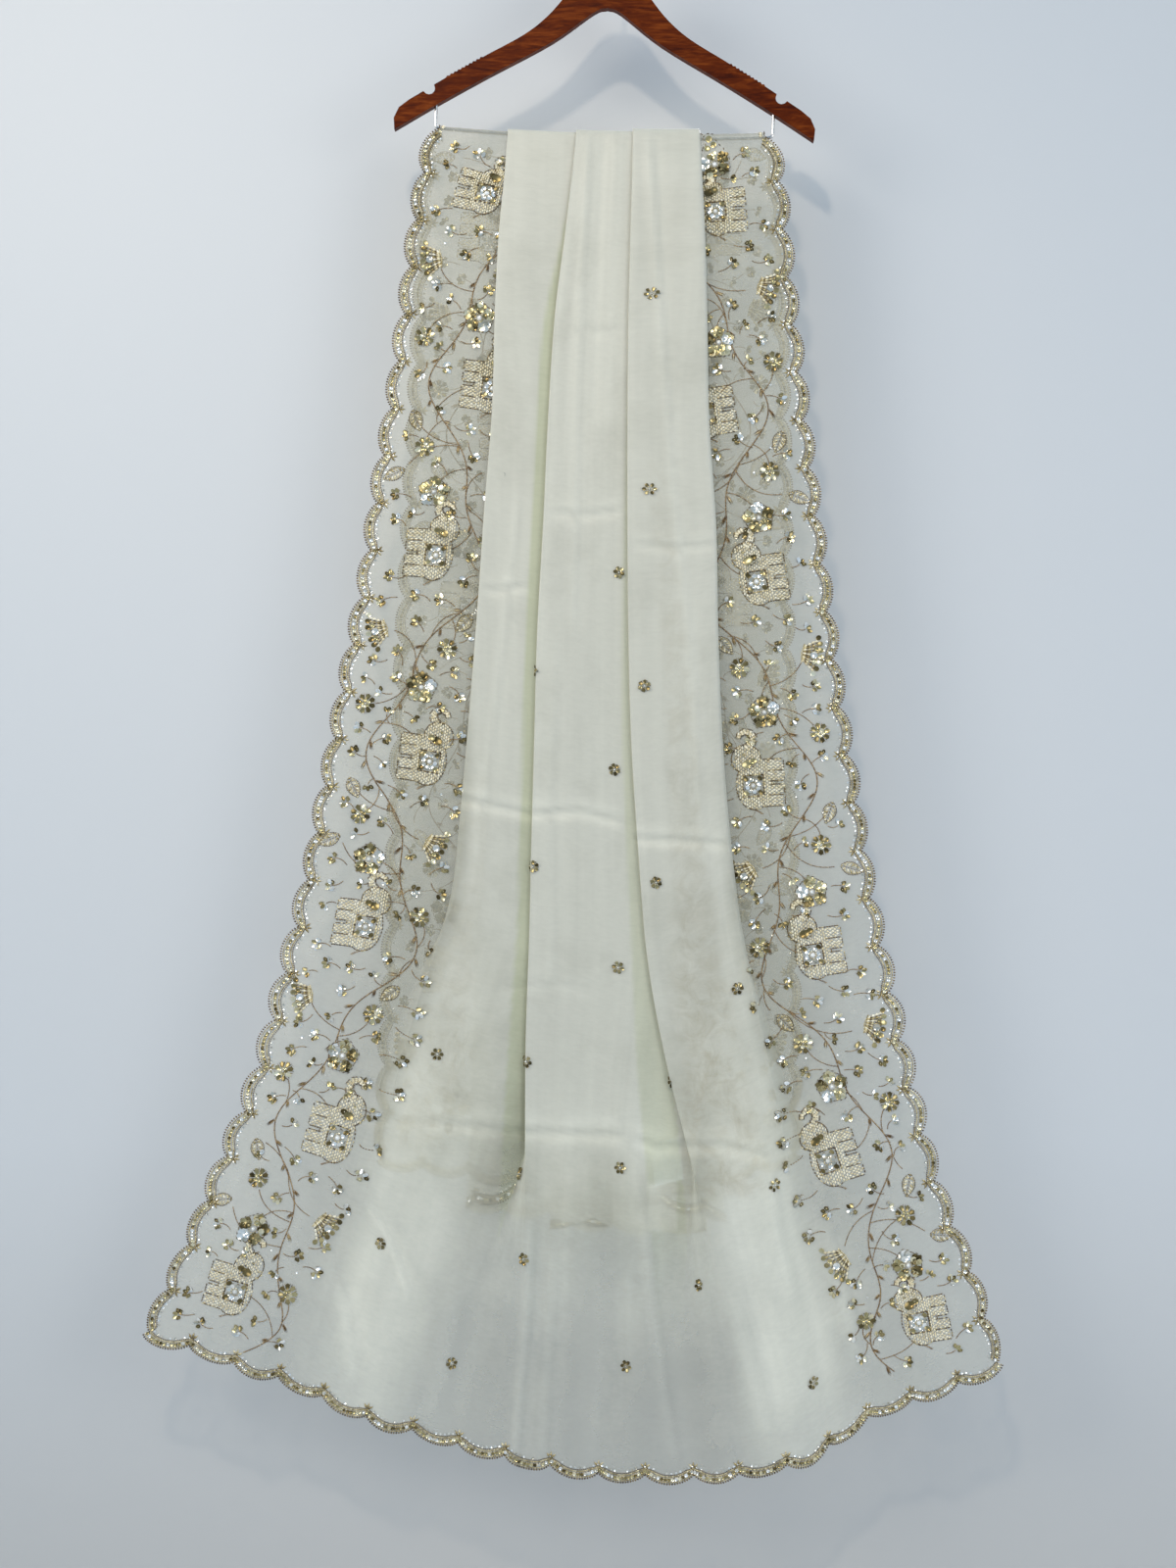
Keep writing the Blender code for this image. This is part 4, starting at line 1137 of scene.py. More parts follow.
def elephantTrunk():
    motif = []
    trunk = np.array(elephant["trunk"], float)
    for index, way in enumerate(np.diff(trunk, axis=0)):
        across = np.array([-way[1], way[0]]) / np.hypot(*way)
        width = elephant["trunkWidth"] * (1 - elephant["trunkTaper"] * index)
        for share in (0.0, 0.5):
            for side, tone, thread in elephant["trunkRuns"]:
                place = trunk[index] + way * share + across * side * width
                motif.append(("grain", tone, *place, math.atan2(way[1], way[0]), 3.2, thread, 1.4))
    return motif


def elephantOutline(draw):
    outline = []
    for middleX, middleY, halfX, halfY in elephant["ovals"]:
        for index in range(elephant["ovalStitches"]):
            angle = 2 * math.pi * index / elephant["ovalStitches"]
            cosine, sine = math.cos(angle), math.sin(angle)
            outline.append((middleX + halfX * elephant["ovalRim"] * cosine,
                            middleY + halfY * elephant["ovalRim"] * sine,
                            math.atan2(halfY * cosine, -halfX * sine)))
    foot = elephant["legFoot"]
    for middle, width in elephant["legs"]:
        for index in range(8):
            for side in (-1, 1):
                outline.append((middle + side * (width / 2 + 0.5), foot + 1.0 + index * 1.9, crossways))
        outline += [(middle + (index - 1) * 2.2, foot - 0.8, 0.0) for index in range(3)]
    return [("grain", "darkThread" if draw.random() < 0.8 else "goldThread", x, y, angle, 2.8, 1.1, 1.2)
            for x, y, angle in outline if not inElephant(x, y)]


def elephantMotif(draw):
    motif = elephantBody(draw) + elephantTrunk() + elephantOutline(draw)
    for index in range(elephant["tailStitches"]):
        share = index / (elephant["tailStitches"] - 1)
        motif.append(("grain", "stemThread", -18 - 5 * share, 8 - 13 * share + 4 * share ** 2,
                      -1.9 + share * 0.5, 2.6, 1.0, 0.8))
    saddleX, saddleY, half = elephant["saddle"]
    for index in range(elephant["saddleStitches"]):
        step = (index + 0.5) / elephant["saddleStitches"] * 2 * half - half
        for x, y, angle in ((step, half, 0), (step, -half, 0),
                            (half, step, crossways), (-half, step, crossways)):
            motif.append(("grain", draw.choice(("goldThread", "darkThread")), saddleX + x, saddleY + y, angle,
                          2.4, 1.7, 1.5))
    corner = elephant["saddleCorner"]
    for x, y in ((-corner, -corner), (-corner, corner), (corner, -corner), (corner, corner)):
        motif.append(("sequin", "darkSequin", saddleX + x, saddleY + y, 0.8, 4.6, 3.6, 0.8))
    motif += circleOf("sequin", "silverSequin", 8, 4.6, (3.4, 3.4, 0.9), 0.2, saddleX, saddleY)
    motif += circleOf("grain", "darkThread", 8, 6.3, (3.0, 0.9, 1.2), 0.2, saddleX, saddleY)
    motif += circleOf("grain", "goldThread", 8, 2.8, (2.4, 1.2, 1.8), 0.2, saddleX, saddleY)
    motif.append(("stone", "stone", saddleX, saddleY, 0, 4.2, 4.2, 2.4))
    for size, out in elephant["ear"]:
        motif.append(("sequin", "darkSequin", 15.5 + out * 0.4, 9.0 - out, -1.3, size * 1.25, size, 1.9))
    motif += circleOf("grain", "darkThread", 8, 3.8, (2.4, 1.0, 1.6), 0.0, 15.8, 7.0)
    motif.append(("sequin", "goldSequin", *elephant["eye"], 0, 2.0, 2.0, 1.5))
    x, y = elephant["crown"]
    for index in range(3):
        motif.append(("grain", "goldThread", x + index * 2.4, y + (index % 2) * 1.8, 0.9, 3.4, 1.5, 1.2))
    return motif


# Border of the long edges: a waving stem with its motifs, repeated along the cloth
vine = {
    "repeat": 0.386, "turns": (-1, 5), "middle": 0.075, "swing": 0.036, "wobble": 0.010,
    "innerLimit": 0.133, "outerLimit": 0.013, "endRoom": 0.016, "stemStep": 0.004, "stemClear": 0.006,
    "wobbleTurns": 3, "wobbleStart": 0.6, "stray": 0.002, "lean": 0.12, "barShare": 0.6, "barRoom": 0.002,
    "sizes": {"elephant": 1.36, "leaf": 1.05, "lotus": 1.25, "rosette": 1.16, "flower": 1.22},
    "start": {("front", "left"): 0.060, ("front", "right"): 0.076, ("back", "left"): 0.110,
              ("back", "right"): 0.095},
    "motifs": (  # kind, in from the edge, along from the near elephant, turn, room round it
        ("elephant", 0.058, 0.000, 0.0, 0.032), ("leaf", 0.112, 0.052, -2.5, 0.011),
        ("lotus", 0.024, 0.080, -1.9, 0.015), ("rosette", 0.093, 0.088, 0.0, 0.011),
        ("flower", 0.074, 0.134, 0.0, 0.015), ("rosette", 0.020, 0.160, 0.0, 0.011),
        ("elephant", 0.090, 0.206, 0.0, 0.032), ("leaf", 0.018, 0.236, 2.6, 0.011),
        ("rosette", 0.037, 0.275, 0.0, 0.011), ("lotus", 0.112, 0.290, 1.9, 0.015),
        ("flower", 0.054, 0.322, 0.0, 0.015), ("leaf", 0.020, 0.300, -2.0, 0.010),
        ("rosette", 0.116, 0.368, 0.0, 0.011),
    ),
}
branch = {"reach": 0.030, "least": 0.006, "bow": (0.25, 0.45), "points": 12, "clear": 0.62, "room": 0.001}
leaves = {"from": 0.012, "short": 0.01, "step": 0.021, "lean": (0.45, 0.75), "out": 0.008, "length": (9, 14),
          "room": 0.001, "takes": 0.004}
buds = {"kinds": ((0.0125, 15, 5), (0.0095, 11, 3)), "step": 0.0085, "fromU": 0.020, "fromR": 0.012,
        "short": 0.006, "stray": 0.003, "closer": 0.0015, "turn": 0.35, "drop": 0.02, "size": (0.9, 1.15)}
spangles = {"eachMetre": 45, "fromU": 0.014, "fromR": 0.006, "room": 0.0015, "takes": 0.002,
            "motif": [("sequin", "silverSequin", 0, 0, 0, 2.4, 2.4, 0.5)]}
motifMakers = {"elephant": elephantMotif, "leaf": leafMotif, "lotus": lotusMotif, "rosette": rosetteMotif,
               "flower": flowerMotif}


def stemPlace(start, r):
    turn = 2 * math.pi * (r - start) / vine["repeat"]
    wobble = vine["wobble"] * math.sin(vine["wobbleTurns"] * turn + vine["wobbleStart"])
    return vine["middle"] + vine["swing"] * math.cos(turn) + wobble


def isFree(taken, u, r, room):
    return all(math.hypot(u - otherU, r - otherR) > room + otherRoom for otherU, otherR, otherRoom in taken)


# A bed holds one border's draws, its stem's start, its last place along, its stitches and taken places
def placeMotifs(bed):
    placed = []
    for turn in range(*vine["turns"]):
        for kind, u, along, angle, room in vine["motifs"]:
            stray = bed["draw"].uniform(-vine["stray"], vine["stray"])
            r = bed["start"] + turn * vine["repeat"] + along + stray
            if r - room * vine["barShare"] >= vine["barRoom"] and r + room <= bed["last"]:
                placed.append((kind, u, r, angle, room))
    return placed


def layStem(bed):
    runs = [[]]
    for r in np.arange(vine["stemStep"], bed["last"], vine["stemStep"]):
        u = stemPlace(bed["start"], r)
        if isFree(bed["taken"], u, r, -vine["stemClear"]):
            runs[-1].append((u, r))
        else:
            runs.append([])
    for run in runs:
        if len(run) > 2:
            runStitches(bed["work"], run, "stemThread", pitch=1.6, width=1.7, height=1.2)


# A bowed branch from the stem to each motif that stands off it
def layBranches(bed, placed):
    draw = bed["draw"]
    for _, u, r, _, room in placed:
        rootR = r + (branch["reach"] if draw.random() < 0.5 else -branch["reach"])
        rootU = stemPlace(bed["start"], rootR)
        if math.hypot(rootU - u, rootR - r) < room + branch["least"]:
            continue
        bow = draw.choice((-1, 1)) * draw.uniform(*branch["bow"])
        bendU, bendR = (rootU + u) / 2 - (r - rootR) * bow, (rootR + r) / 2 + (u - rootU) * bow
        line = []
        for share in np.arange(branch["points"]) / (branch["points"] - 1):
            point = [(1 - share) ** 2 * first + 2 * share * (1 - share) * bend + share ** 2 * last
                     for first, bend, last in ((rootU, bendU, u), (rootR, bendR, r))]
            if math.hypot(point[0] - u, point[1] - r) > room * branch["clear"]:
                line.append(point)
        if len(line) > 2:
            runStitches(bed["work"], line, "stemThread")
            bed["taken"] += [(*point, branch["room"]) for point in line[2:-1:3]]


# Thin leaves on both sides of the stem in turn
def layLeaves(bed):
    draw, start = bed["draw"], bed["start"]
    for index, r in enumerate(np.arange(leaves["from"], bed["last"] - leaves["short"], leaves["step"])):
        u = stemPlace(start, r)
        slope = (stemPlace(start, r + mm) - stemPlace(start, r - mm)) / (2 * mm)
        lean = (1 if index % 2 else -1) * draw.uniform(*leaves["lean"])
        angle = math.atan2(slope, -1) + lean
        tip = (u + math.sin(angle) * leaves["out"], r - math.cos(angle) * leaves["out"])
        inside = vine["outerLimit"] < tip[0] < vine["innerLimit"]
        if inside and isFree(bed["taken"], *tip, leaves["room"]):
            layMotif(bed["work"], thinLeafMotif(draw, draw.uniform(*leaves["length"])), u, r, angle)
            bed["taken"].append((*tip, leaves["takes"]))


def layBuds(bed, room, reach, count):
    draw, step, stray = bed["draw"], buds["step"], buds["stray"]
    for r in np.arange(buds["fromR"], bed["last"] - buds["short"], step):
        for u in np.arange(buds["fromU"], vine["innerLimit"], step):
            atU, atR = u + draw.uniform(-stray, stray), r + draw.uniform(-stray, stray)
            if not isFree(bed["taken"], atU, atR, room - buds["closer"]):
                continue
            away = atU - stemPlace(bed["start"], atR)
            angle = math.atan2(away, draw.uniform(-buds["drop"], buds["drop"]))
            angle += draw.uniform(-buds["turn"], buds["turn"])
            back = (reach - 2) * mm
            motif = budsMotif(draw, draw.uniform(*buds["size"]) * reach, count)
            layMotif(bed["work"], motif, atU - math.sin(angle) * back, atR + math.cos(angle) * back, angle)
            bed["taken"].append((atU, atR, room))


def laySpangles(bed, length):
    for _ in range(int(length * spangles["eachMetre"])):
        u = bed["draw"].uniform(spangles["fromU"], vine["innerLimit"])
        r = bed["draw"].uniform(spangles["fromR"], bed["last"])
        if isFree(bed["taken"], u, r, spangles["room"]):
            layMotif(bed["work"], spangles["motif"], u, r)
            bed["taken"].append((u, r, spangles["takes"]))


def buildBorder(name, side, edge, seed):
    length = edges[side, edge][1][-1]
    draw = random.Random(seed)
    bed = {"draw": draw, "start": vine["start"][side, edge], "last": length - vine["endRoom"],
           "work": [], "taken": []}
    placed = placeMotifs(bed)
    for kind, u, r, angle, room in placed:
        angle += draw.uniform(-vine["lean"], vine["lean"])
        layMotif(bed["work"], motifMakers[kind](draw), u, r, angle, vine["sizes"][kind])
        bed["taken"].append((u, r, room))
    layStem(bed)
    layBranches(bed, placed)
    layLeaves(bed)
    for kind in buds["kinds"]:
        layBuds(bed, *kind)
    laySpangles(bed, length)
    layWork(name, side, edge, bed["work"], seed)


# Edging: chains, a satin band and sequins that follow the scallops
edgingLook = {
    "rows": (  # tone, in from the outline, pitch, length, width, height
        ("darkThread", 0.6, 2.7, 2.1, 2.8, 2.0), ("goldThread", 2.4, 1.8, 2.7, 1.6, 1.6),
        ("goldThread", 8.3, 2.0, 2.9, 2.0, 1.7), ("darkThread", 9.8, 2.1, 2.4, 1.2, 1.0),
    ),
    "bandIn": 5.3, "bandPitch": 1.15, "bandStitch": (5.2, 1.25, 0.9), "bandStray": 0.12,
    "sequinPitch": 3.8, "sequin": (3.7, 3.7, 1.6), "spangleIn": 11.8, "spanglePitch": 4.8,
    "spangle": (2.4, 2.4, 0.5), "spangleShare": 0.8, "smooth": 9, "clusterIn": 0.0060,
    "clusterLeans": (-0.8, 0.0, 0.8), "overSteps": 14, "overIn": 0.0035,
    "cluster": (("grain", "goldThread", 3.6, 0, 0, 7.4, 2.6, 1.4),
                ("grain", "darkThread", 3.4, 0, 0, 5.0, 1.0, 2.0)),
}


# The scalloped outline as distances in and along, and the way inward, rounded at each cusp
def scallopOutline(side, edge):
    count, reach, total = scallopRun(side, edge)
    share = np.linspace(0, count, count * edging["samples"] + 1)
    outline = np.stack([-scallopWidth(share), share / count * total - reach], 1)
    way = np.gradient(outline, axis=0)
    inward = np.stack([way[:, 1], -way[:, 0]], 1)
    inward /= np.linalg.norm(inward, axis=1, keepdims=True)
    wide = edgingLook["smooth"]
    kernel = np.hanning(wide) / np.hanning(wide).sum()
    padded = np.pad(inward, ((wide // 2, wide // 2), (0, 0)), mode="edge")
    return outline, np.stack([np.convolve(column, kernel, "valid") for column in padded.T], 1)


def buildEdging(name, side, edge, node, seed):
    draw = random.Random(seed)
    count, reach, total = scallopRun(side, edge)
    outline, inward = scallopOutline(side, edge)
    work = []

    def sew(shape, tone, u, r, angle, size):
        work.append((shape, tone, u, r, angle, *(value * mm for value in size)))

    for tone, offset, *form in edgingLook["rows"]:
        runStitches(work, outline + inward * offset * mm, tone, *form, 0.0)
    band = outline + inward * edgingLook["bandIn"] * mm
    spans = runningLengths(band)
    for at in np.arange(0.5 * mm, spans[-1], edgingLook["bandPitch"] * mm):
        inU, inR = pointAt(inward, spans, at)
        stray = draw.uniform(-edgingLook["bandStray"], edgingLook["bandStray"])
        tone = draw.choice(("creamThread", "goldThread", "goldThread", "darkThread"))
        sew("grain", tone, *pointAt(band, spans, at), math.atan2(inU, -inR) + stray, edgingLook["bandStitch"])
    for at in np.arange(1 * mm, spans[-1], edgingLook["sequinPitch"] * mm):
        tone = draw.choice(("goldSequin", "darkSequin", "goldSequin", "silverSequin"))
        sew("sequin", tone, *pointAt(band, spans, at), 0.0, edgingLook["sequin"])
    inner = outline + inward * edgingLook["spangleIn"] * mm
    spans = runningLengths(inner)
    for at in np.arange(2 * mm, spans[-1], edgingLook["spanglePitch"] * mm):
        if draw.random() < edgingLook["spangleShare"]:
            sew("sequin", "silverSequin", *pointAt(inner, spans, at), 0.0, edgingLook["spangle"])
    for index in range(1, count):
        for lean in edgingLook["clusterLeans"]:
            layMotif(work, edgingLook["cluster"], edgingLook["clusterIn"] - edging["cusp"],
                     index / count * total - reach, math.pi / 2 + lean)
    if side == "front" and edge != "hem":
        over = np.array([(-edging["cusp"], -step * mm) for step in range(edgingLook["overSteps"])])
        runStitches(work, over, "darkThread", 2.1, 1.9, 1.5, 1.3, 0.0)
        runStitches(work, over + (edgingLook["overIn"], 0), "creamThread", 1.2, 3.0, 4.2, 0.9, 0.0)
    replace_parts(layWork(name, side, edge, work, seed), node)


# Sprigs over the plain middle, in columns: place across at the bar and at the hem, first level
field = {
    "columns": ((0.205, 0.208, 0.730), (0.385, 0.318, 0.058), (0.398, 0.402, 0.411), (0.491, 0.527, 0.330),
                (0.687, 0.610, 0.121), (0.766, 0.743, 0.656)),
    "step": 0.148, "last": 0.965, "drift": 0.55, "fall": 1.36, "stray": 0.003,
}


def buildField(name, side, seed):
    draw = random.Random(seed)
    work = []
    for atBar, atHem, level in field["columns"]:
        while level < field["last"]:
            share = float(smoothStep((level - field["drift"]) / (1 - field["drift"])))
            across = atBar + (atHem - atBar) * share + draw.uniform(-field["stray"], field["stray"])
            for shape, tone, x, y, angle, *size in sprigMotif(draw):
                work.append((shape, tone, across + y * mm, level - x * mm / field["fall"], angle,
                             *(value * mm for value in size)))
            level += field["step"]
    layWork(name, side, "field", work, seed)


# Thread, sequin and stone finishes
toneLook = {  # darkest, middle and lightest colour, roughness, metallic
    "goldThread": ((0.26, 0.19, 0.07), (0.60, 0.49, 0.25), (0.92, 0.83, 0.56), 0.40, 0.4),
    "darkThread": ((0.05, 0.028, 0.008), (0.13, 0.08, 0.025), (0.28, 0.19, 0.07), 0.45, 0.35),
    "creamThread": ((0.58, 0.48, 0.29), (0.84, 0.75, 0.52), (0.99, 0.94, 0.78), 0.5, 0.0),
    "stemThread": ((0.12, 0.070, 0.028), (0.26, 0.16, 0.070), (0.46, 0.33, 0.17), 0.5, 0.15),
    "goldSequin": ((0.16, 0.12, 0.045), (0.50, 0.42, 0.21), (0.93, 0.87, 0.66), 0.24, 0.85),
    "darkSequin": ((0.05, 0.036, 0.012), (0.20, 0.15, 0.06), (0.50, 0.42, 0.22), 0.24, 0.85),
    "silverSequin": ((0.42, 0.38, 0.28), (0.75, 0.73, 0.66), (0.98, 0.98, 0.95), 0.15, 0.85),
    "stone": ((0.62, 0.62, 0.58), (0.80, 0.80, 0.76), (0.97, 0.97, 0.96), 0.06, 0.2),
}
threadGrain = {
    "threadScale": 900.0, "threadBump": 0.5, "metalScale": 300.0, "metalBump": 0.12, "bumpDepth": 0.0004,
    "own": 0.62, "twist": 0.30, "patches": 0.24, "patchScale": 45.0, "less": 0.08, "rough": 0.2,
}


def buildThreadGrain():
    inputs = {"Scale": threadGrain["threadScale"]}
    group, source, result = newGroup("threadGrain", inputs, ("Shade", "Height"))
    links = group.links
    place = objectPlace(group)
    twist = addNoise(group, place, threadGrain["threadScale"], 2.0)
    patches = addNoise(group, place, threadGrain["patchScale"], 1.0)
    links.new(source.outputs["Scale"], twist.node.inputs["Scale"])
    shade = addMath(group, "MULTIPLY", readMark(group, "shade"), threadGrain["own"])
    shade = addMath(group, "MULTIPLY_ADD", twist, threadGrain["twist"], shade)
    shade = addMath(group, "MULTIPLY_ADD", patches, threadGrain["patches"], shade)
    shade = addMath(group, "SUBTRACT", shade, threadGrain["less"], clamp=True)
    links.new(shade, result.inputs["Shade"])
    links.new(twist, result.inputs["Height"])
    return group


def buildTones(grain):
    made = {}
    for tone, (dark, middle, light, roughness, metallic) in toneLook.items():
        material, tree, shader = newMaterial(tone, middle, roughness, metallic)
        kind = "thread" if "Thread" in tone else "metal"
        group = useGroup(tree, grain, Scale=threadGrain[kind + "Scale"])
        color = colorRamp(tree, group.outputs["Shade"], ((0.12, dark), (0.5, middle), (0.9, light)))
        tree.links.new(color, shader.inputs["Base Color"])
        rough = threadGrain["rough"]
        rough = addMath(tree, "MULTIPLY_ADD", group.outputs["Height"], rough, roughness - rough / 2)
        tree.links.new(rough, shader.inputs["Roughness"])
        addBump(tree, shader, group.outputs["Height"], threadGrain[kind + "Bump"], threadGrain["bumpDepth"])
        made[tone] = material
    return made


# Label on the back fall's inner face
label = {
    "start": 0.792, "width": 0.030, "height": 0.046, "hemGap": 0.004, "slant": 0.004, "rows": 16,
    "columns": 10, "lift": 0.0008, "bow": 0.0012, "bowFrom": 0.2, "weaveScale": 1100.0,
    "color": (0.72, 0.76, 0.78), "darkWeave": (0.80, 0.90, 0.94), "lightWeave": (0.96, 0.98, 1.0),
}


def buildLabel():
    material, tree, shader = newMaterial("labelTape", label["color"], 0.7)
    place = tree.nodes.new("ShaderNodeUVMap")
    weave = addNode(tree, "ShaderNodeTexWave", Scale=label["weaveScale"], Distortion=0.4)
    tree.links.new(place.outputs["UV"], weave.inputs["Vector"])
    color = colorRamp(tree, weave.outputs["Fac"], ((0.2, label["darkWeave"]), (0.8, label["lightWeave"])))
    tree.links.new(color, shader.inputs["Base Color"])
    addBump(tree, shader, weave.outputs["Fac"], 0.3, 0.0003)
    drop = float(hemDrop("back", label["start"]))
    points, flat = [], []
    for down in np.arange(label["rows"] + 1) / label["rows"]:
        level = 1 - (label["hemGap"] + label["height"] * (1 - down)) / drop
        across = label["start"] + label["slant"] * down
        across = across + label["width"] * np.linspace(0, 1, label["columns"] + 1)
        line = fallPoints("back", level, across)
        bow = label["bow"] * math.sin(math.pi * down) * np.linspace(label["bowFrom"], 1, len(across))
        line[:, 1] -= label["lift"] + bow
        points.append(line)
        flat.append(np.stack([across, np.full(len(across), -label["height"] * down)], 1))
    made = gridObject("label_tape", np.array(points), np.array(flat), {}, material)
    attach(made, "root")
    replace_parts(made, "care_label")


# Hanger finishes, given to its own solids
wood = {
    "dark": (0.040, 0.005, 0.001), "middle": (0.088, 0.013, 0.001), "light": (0.165, 0.034, 0.004),
    "stretch": (1.4, 9.0, 9.0), "specular": 0.04, "coat": 0.03, "coatRoughness": 0.25,
}
steel = {"color": (0.52, 0.51, 0.49), "dark": (0.38, 0.37, 0.355), "light": (0.60, 0.59, 0.57),
         "drawn": 420.0}


def buildWood():
    mahogany, tree, shader = newMaterial("mahogany", wood["middle"], 0.4, **{
        "Specular IOR Level": wood["specular"], "Coat Weight": wood["coat"],
        "Coat Roughness": wood["coatRoughness"],
    })
    place = stretchPlace(tree, objectPlace(tree), wood["stretch"])
    grain = addNoise(tree, place, 14.0, 6.0, 0.6, 1.2)
    pores = addNoise(tree, place, 70.0, 3.0)
    mixed = addMath(tree, "MULTIPLY_ADD", grain, 0.75, addMath(tree, "MULTIPLY", pores, 0.25))
    color = colorRamp(tree, mixed, ((0.36, wood["dark"]), (0.5, wood["middle"]), (0.64, wood["light"])))
    tree.links.new(color, shader.inputs["Base Color"])
    tree.links.new(addMath(tree, "MULTIPLY_ADD", pores, 0.25, 0.30), shader.inputs["Roughness"])
    addBump(tree, shader, mixed, 0.15, 0.0006)
    return mahogany


def buildSteel():
    brushed, tree, shader = newMaterial("brushedSteel", steel["color"], 0.3, 1.0)
    drawn = addNoise(tree, objectPlace(tree), steel["drawn"], 2.0)
    tree.links.new(addMath(tree, "MULTIPLY_ADD", drawn, 0.25, 0.1), shader.inputs["Roughness"])
    color = colorRamp(tree, drawn, ((0.3, steel["dark"]), (0.7, steel["light"])))
    tree.links.new(color, shader.inputs["Base Color"])
    return brushed


def buildHangerFinish():
    mahogany, brushed = buildWood(), buildSteel()
    for node, material in (("hanger_body", mahogany), ("hanger_hook", brushed), ("trouser_bar", brushed)):
        solid = bpy.data.objects[node]
        for slotOfSolid in solid.material_slots:
            slotOfSolid.material = material
        if not solid.material_slots:
            solid.data.materials.append(material)


# Stage, light and view
stage = {
    "wallY": 0.105, "wallTop": 1.6, "floorZ": -1.80, "half": 3.5, "wallColor": (0.575, 0.588, 0.598),
    "lowShadeColor": (0.47, 0.465, 0.45), "fade": (-1.80, -1.30), "floorColor": (0.66, 0.68, 0.70),
}


def stageObject(name, corners, material):
    mesh = bpy.data.meshes.new(name)
    mesh.from_pydata(corners, [], [tuple(range(len(corners)))])
    mesh.materials.append(material)
    linkObject(name, mesh)


# The wall is clear from behind and lets light through, so that it never hides or shades the cloth
def buildStage():
    wall, tree, shader = newMaterial("paleWall", stage["wallColor"], 0.9, **{"Specular IOR Level": 0.1})
    links = tree.links
    split = tree.nodes.new("ShaderNodeSeparateXYZ")
    links.new(objectPlace(tree), split.inputs["Vector"])
    # painted shade: the wall's colour darkens towards its foot
    low, high = stage["fade"]
    rise = addMath(tree, "DIVIDE", addMath(tree, "SUBTRACT", split.outputs["Z"], low), high - low, clamp=True)
    color = colorRamp(tree, rise, ((0.0, stage["lowShadeColor"]), (1.0, stage["wallColor"])))
    links.new(color, shader.inputs["Base Color"])
    behind = tree.nodes.new("ShaderNodeNewGeometry")
    path = tree.nodes.new("ShaderNodeLightPath")
    clear = tree.nodes.new("ShaderNodeBsdfTransparent")
    mix = tree.nodes.new("ShaderNodeMixShader")
    links.new(addMath(tree, "MAXIMUM", behind.outputs["Backfacing"], path.outputs["Is Shadow Ray"]),
              mix.inputs["Fac"])
    links.new(shader.outputs["BSDF"], mix.inputs[1])
    links.new(clear.outputs["BSDF"], mix.inputs[2])
    links.new(mix.outputs["Shader"], tree.nodes["Material Output"].inputs["Surface"])
    floor, _, _ = newMaterial("paleFloor", stage["floorColor"], 0.85)
    y, z, half, top = (stage[key] for key in ("wallY", "floorZ", "half", "wallTop"))
    stageObject("wall", [(-half, y, z), (half, y, z), (half, y, top), (-half, y, top)], wall)
    stageObject("floor", [(-half, -half, z), (half, -half, z), (half, half, z), (-half, half, z)], floor)


lights = (  # name, place, target, size, energy, colour, spread in degrees
    ("keyLight", (-0.42, -2.6, 1.00), (0.0, 0.0, -0.55), 0.18, 3.8, (1.0, 0.84, 0.66), 80),
    ("softBox", (-2.0, -1.9, 0.1), (0.0, 0.0, -0.75), 1.4, 12, (1.0, 0.95, 0.87), 110),
    ("fillLight", (1.7, -2.3, -0.5), (0.0, 0.0, -0.9), 1.5, 7.5, (1.0, 0.975, 0.95), 110),
    ("wallWash", (-0.70, -0.9, 0.45), (-0.62, 0.1, -0.15), 0.5, 0.5, (1.0, 0.84, 0.64), 70),
    ("rearLight", (0.9, 2.3, 0.9), (0.0, 0.0, -0.7), 1.2, 75, (1.0, 1.0, 1.0), 180),
)
room = {"color": (0.64, 0.83, 1.04, 1), "strength": 0.70, "clearBounces": 48}


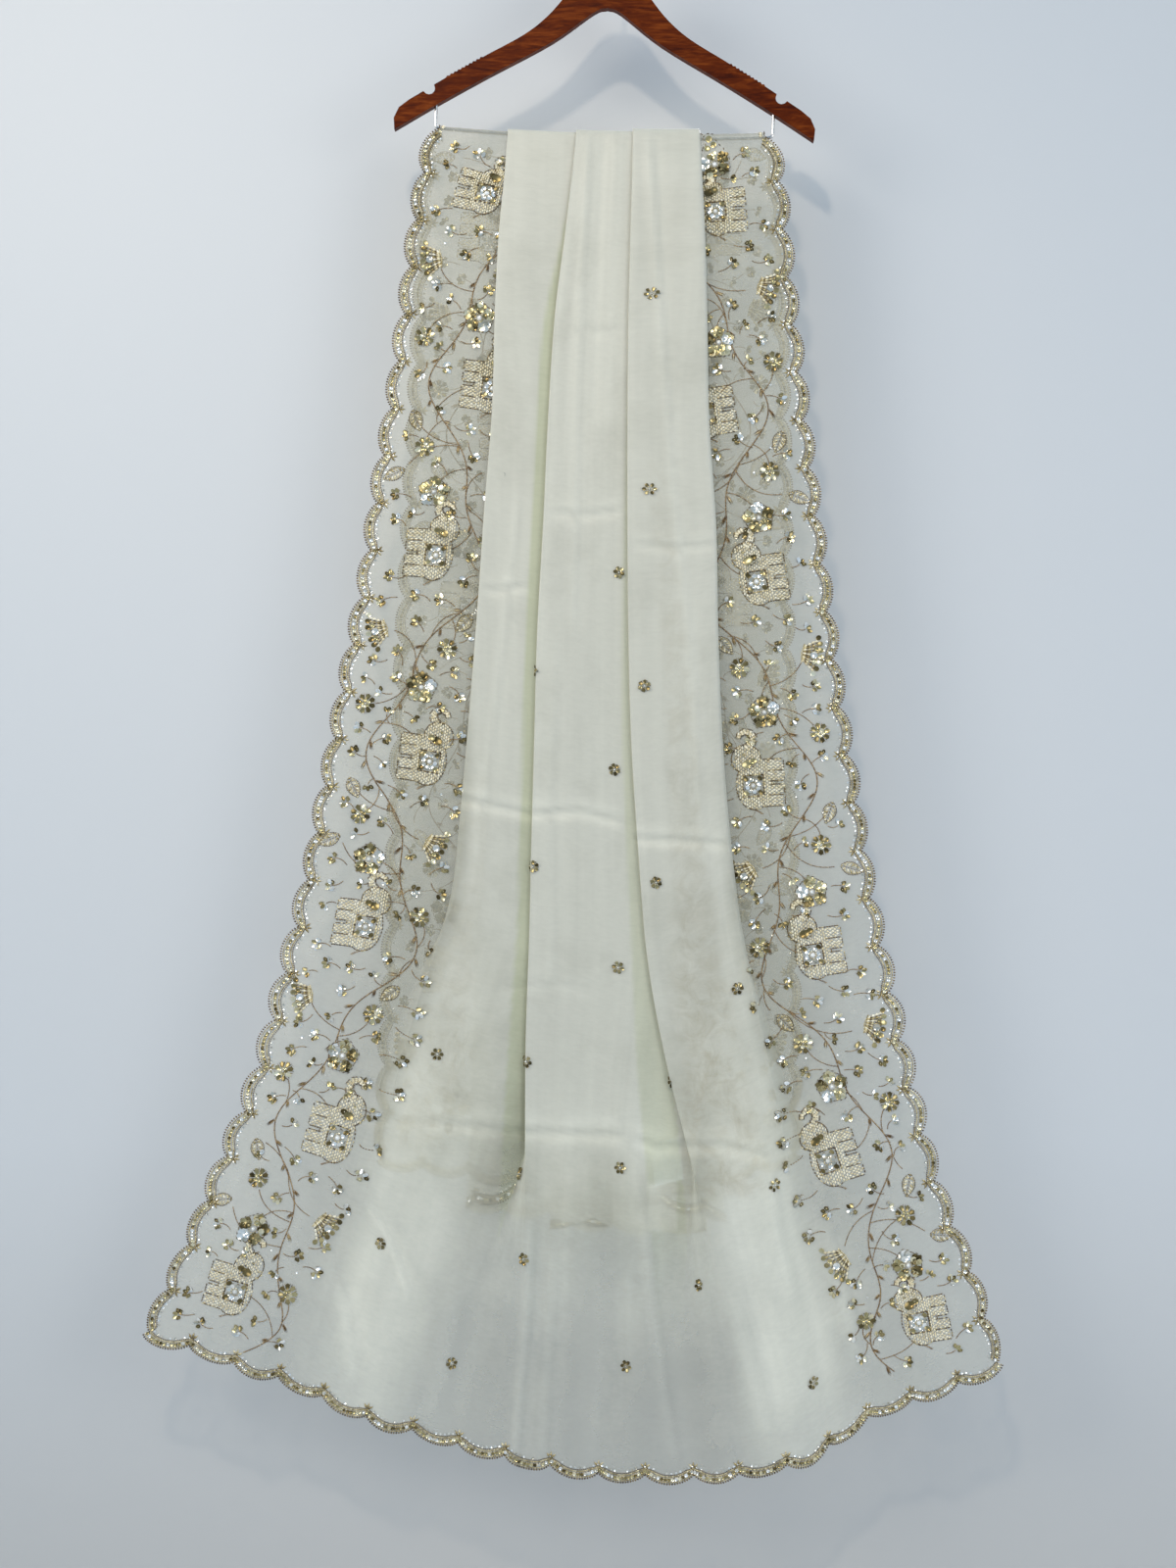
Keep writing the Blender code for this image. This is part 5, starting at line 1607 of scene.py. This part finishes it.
def areaLight(name, place, target, size, energy, color, spread):
    data = bpy.data.lights.new(name, "AREA")
    data.shape = "DISK"
    data.size = size
    data.energy = energy
    data.color = color
    data.spread = math.radians(spread)
    lamp = linkObject(name, data)
    lamp.location = place
    way = np.array(target, float) - np.array(place, float)
    flat = math.hypot(way[0], way[1])
    lamp.rotation_euler = (math.atan2(flat, -way[2]), 0, math.atan2(way[1], way[0]) - math.pi / 2)


def buildLights():
    for light in lights:
        areaLight(*light)
    world = bpy.data.worlds.new("softRoom")
    world.use_nodes = True
    backdrop = world.node_tree.nodes["Background"]
    backdrop.inputs["Color"].default_value = room["color"]
    backdrop.inputs["Strength"].default_value = room["strength"]
    scene.world = world
    scene.view_settings.view_transform = "Standard"
    scene.cycles.transparent_max_bounces = room["clearBounces"]


buildCamera()
buildStage()
buildLights()
buildHangerFinish()
print("camera, stage, lights and hanger built")

sheerCrepe = buildSheer("sheerCrepe")
frontSheet = gridObject("front_sheet", *sheetGrid("front", cloth["frontRows"]), sheerCrepe)
backSheet = gridObject("back_sheet", *sheetGrid("back", cloth["backRows"]), sheerCrepe)
print("sheets built:", len(frontSheet.data.polygons), len(backSheet.data.polygons))

toneMaterials = buildTones(buildThreadGrain())
shapes = buildShapes()
nets = {side: buildNet(side) for side in sides}
slants = {(side, edge): borderSlant(side, edge) for side in sides for edge in ("left", "right")}
sewnPieces = {side: [] for side in sides}
seeds = {  # border and edging of each long edge, hem edging, sprigs
    "front": {"left": (15, 44), "right": (16, 45), "hem": 60, "sprigs": 70},
    "back": {"left": (22, 45), "right": (23, 46), "hem": 61, "sprigs": 71},
}
for side in sides:
    for edge in ("left", "right"):
        borderSeed, edgingSeed = seeds[side][edge]
        buildBorder(side + "_border_" + edge, side, edge, borderSeed)
        buildEdging(side + "_edging_" + edge, side, edge, "edging_" + side + "_" + edge, edgingSeed)
    buildEdging(side + "_edging_hem", side, "hem", "edging_" + side + "_hem", seeds[side]["hem"])
    buildField(side + "_sprigs", side, seeds[side]["sprigs"])
buildLabel()
print("embroidery, edging and label built")

for sheet, nodes, side, length in (
    (frontSheet, ("front_fall", "top_fold"), "front", 1.39), (backSheet, ("back_fall",), "back", 1.14),
):
    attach(sheet, "root")
    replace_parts(sheet, *nodes)
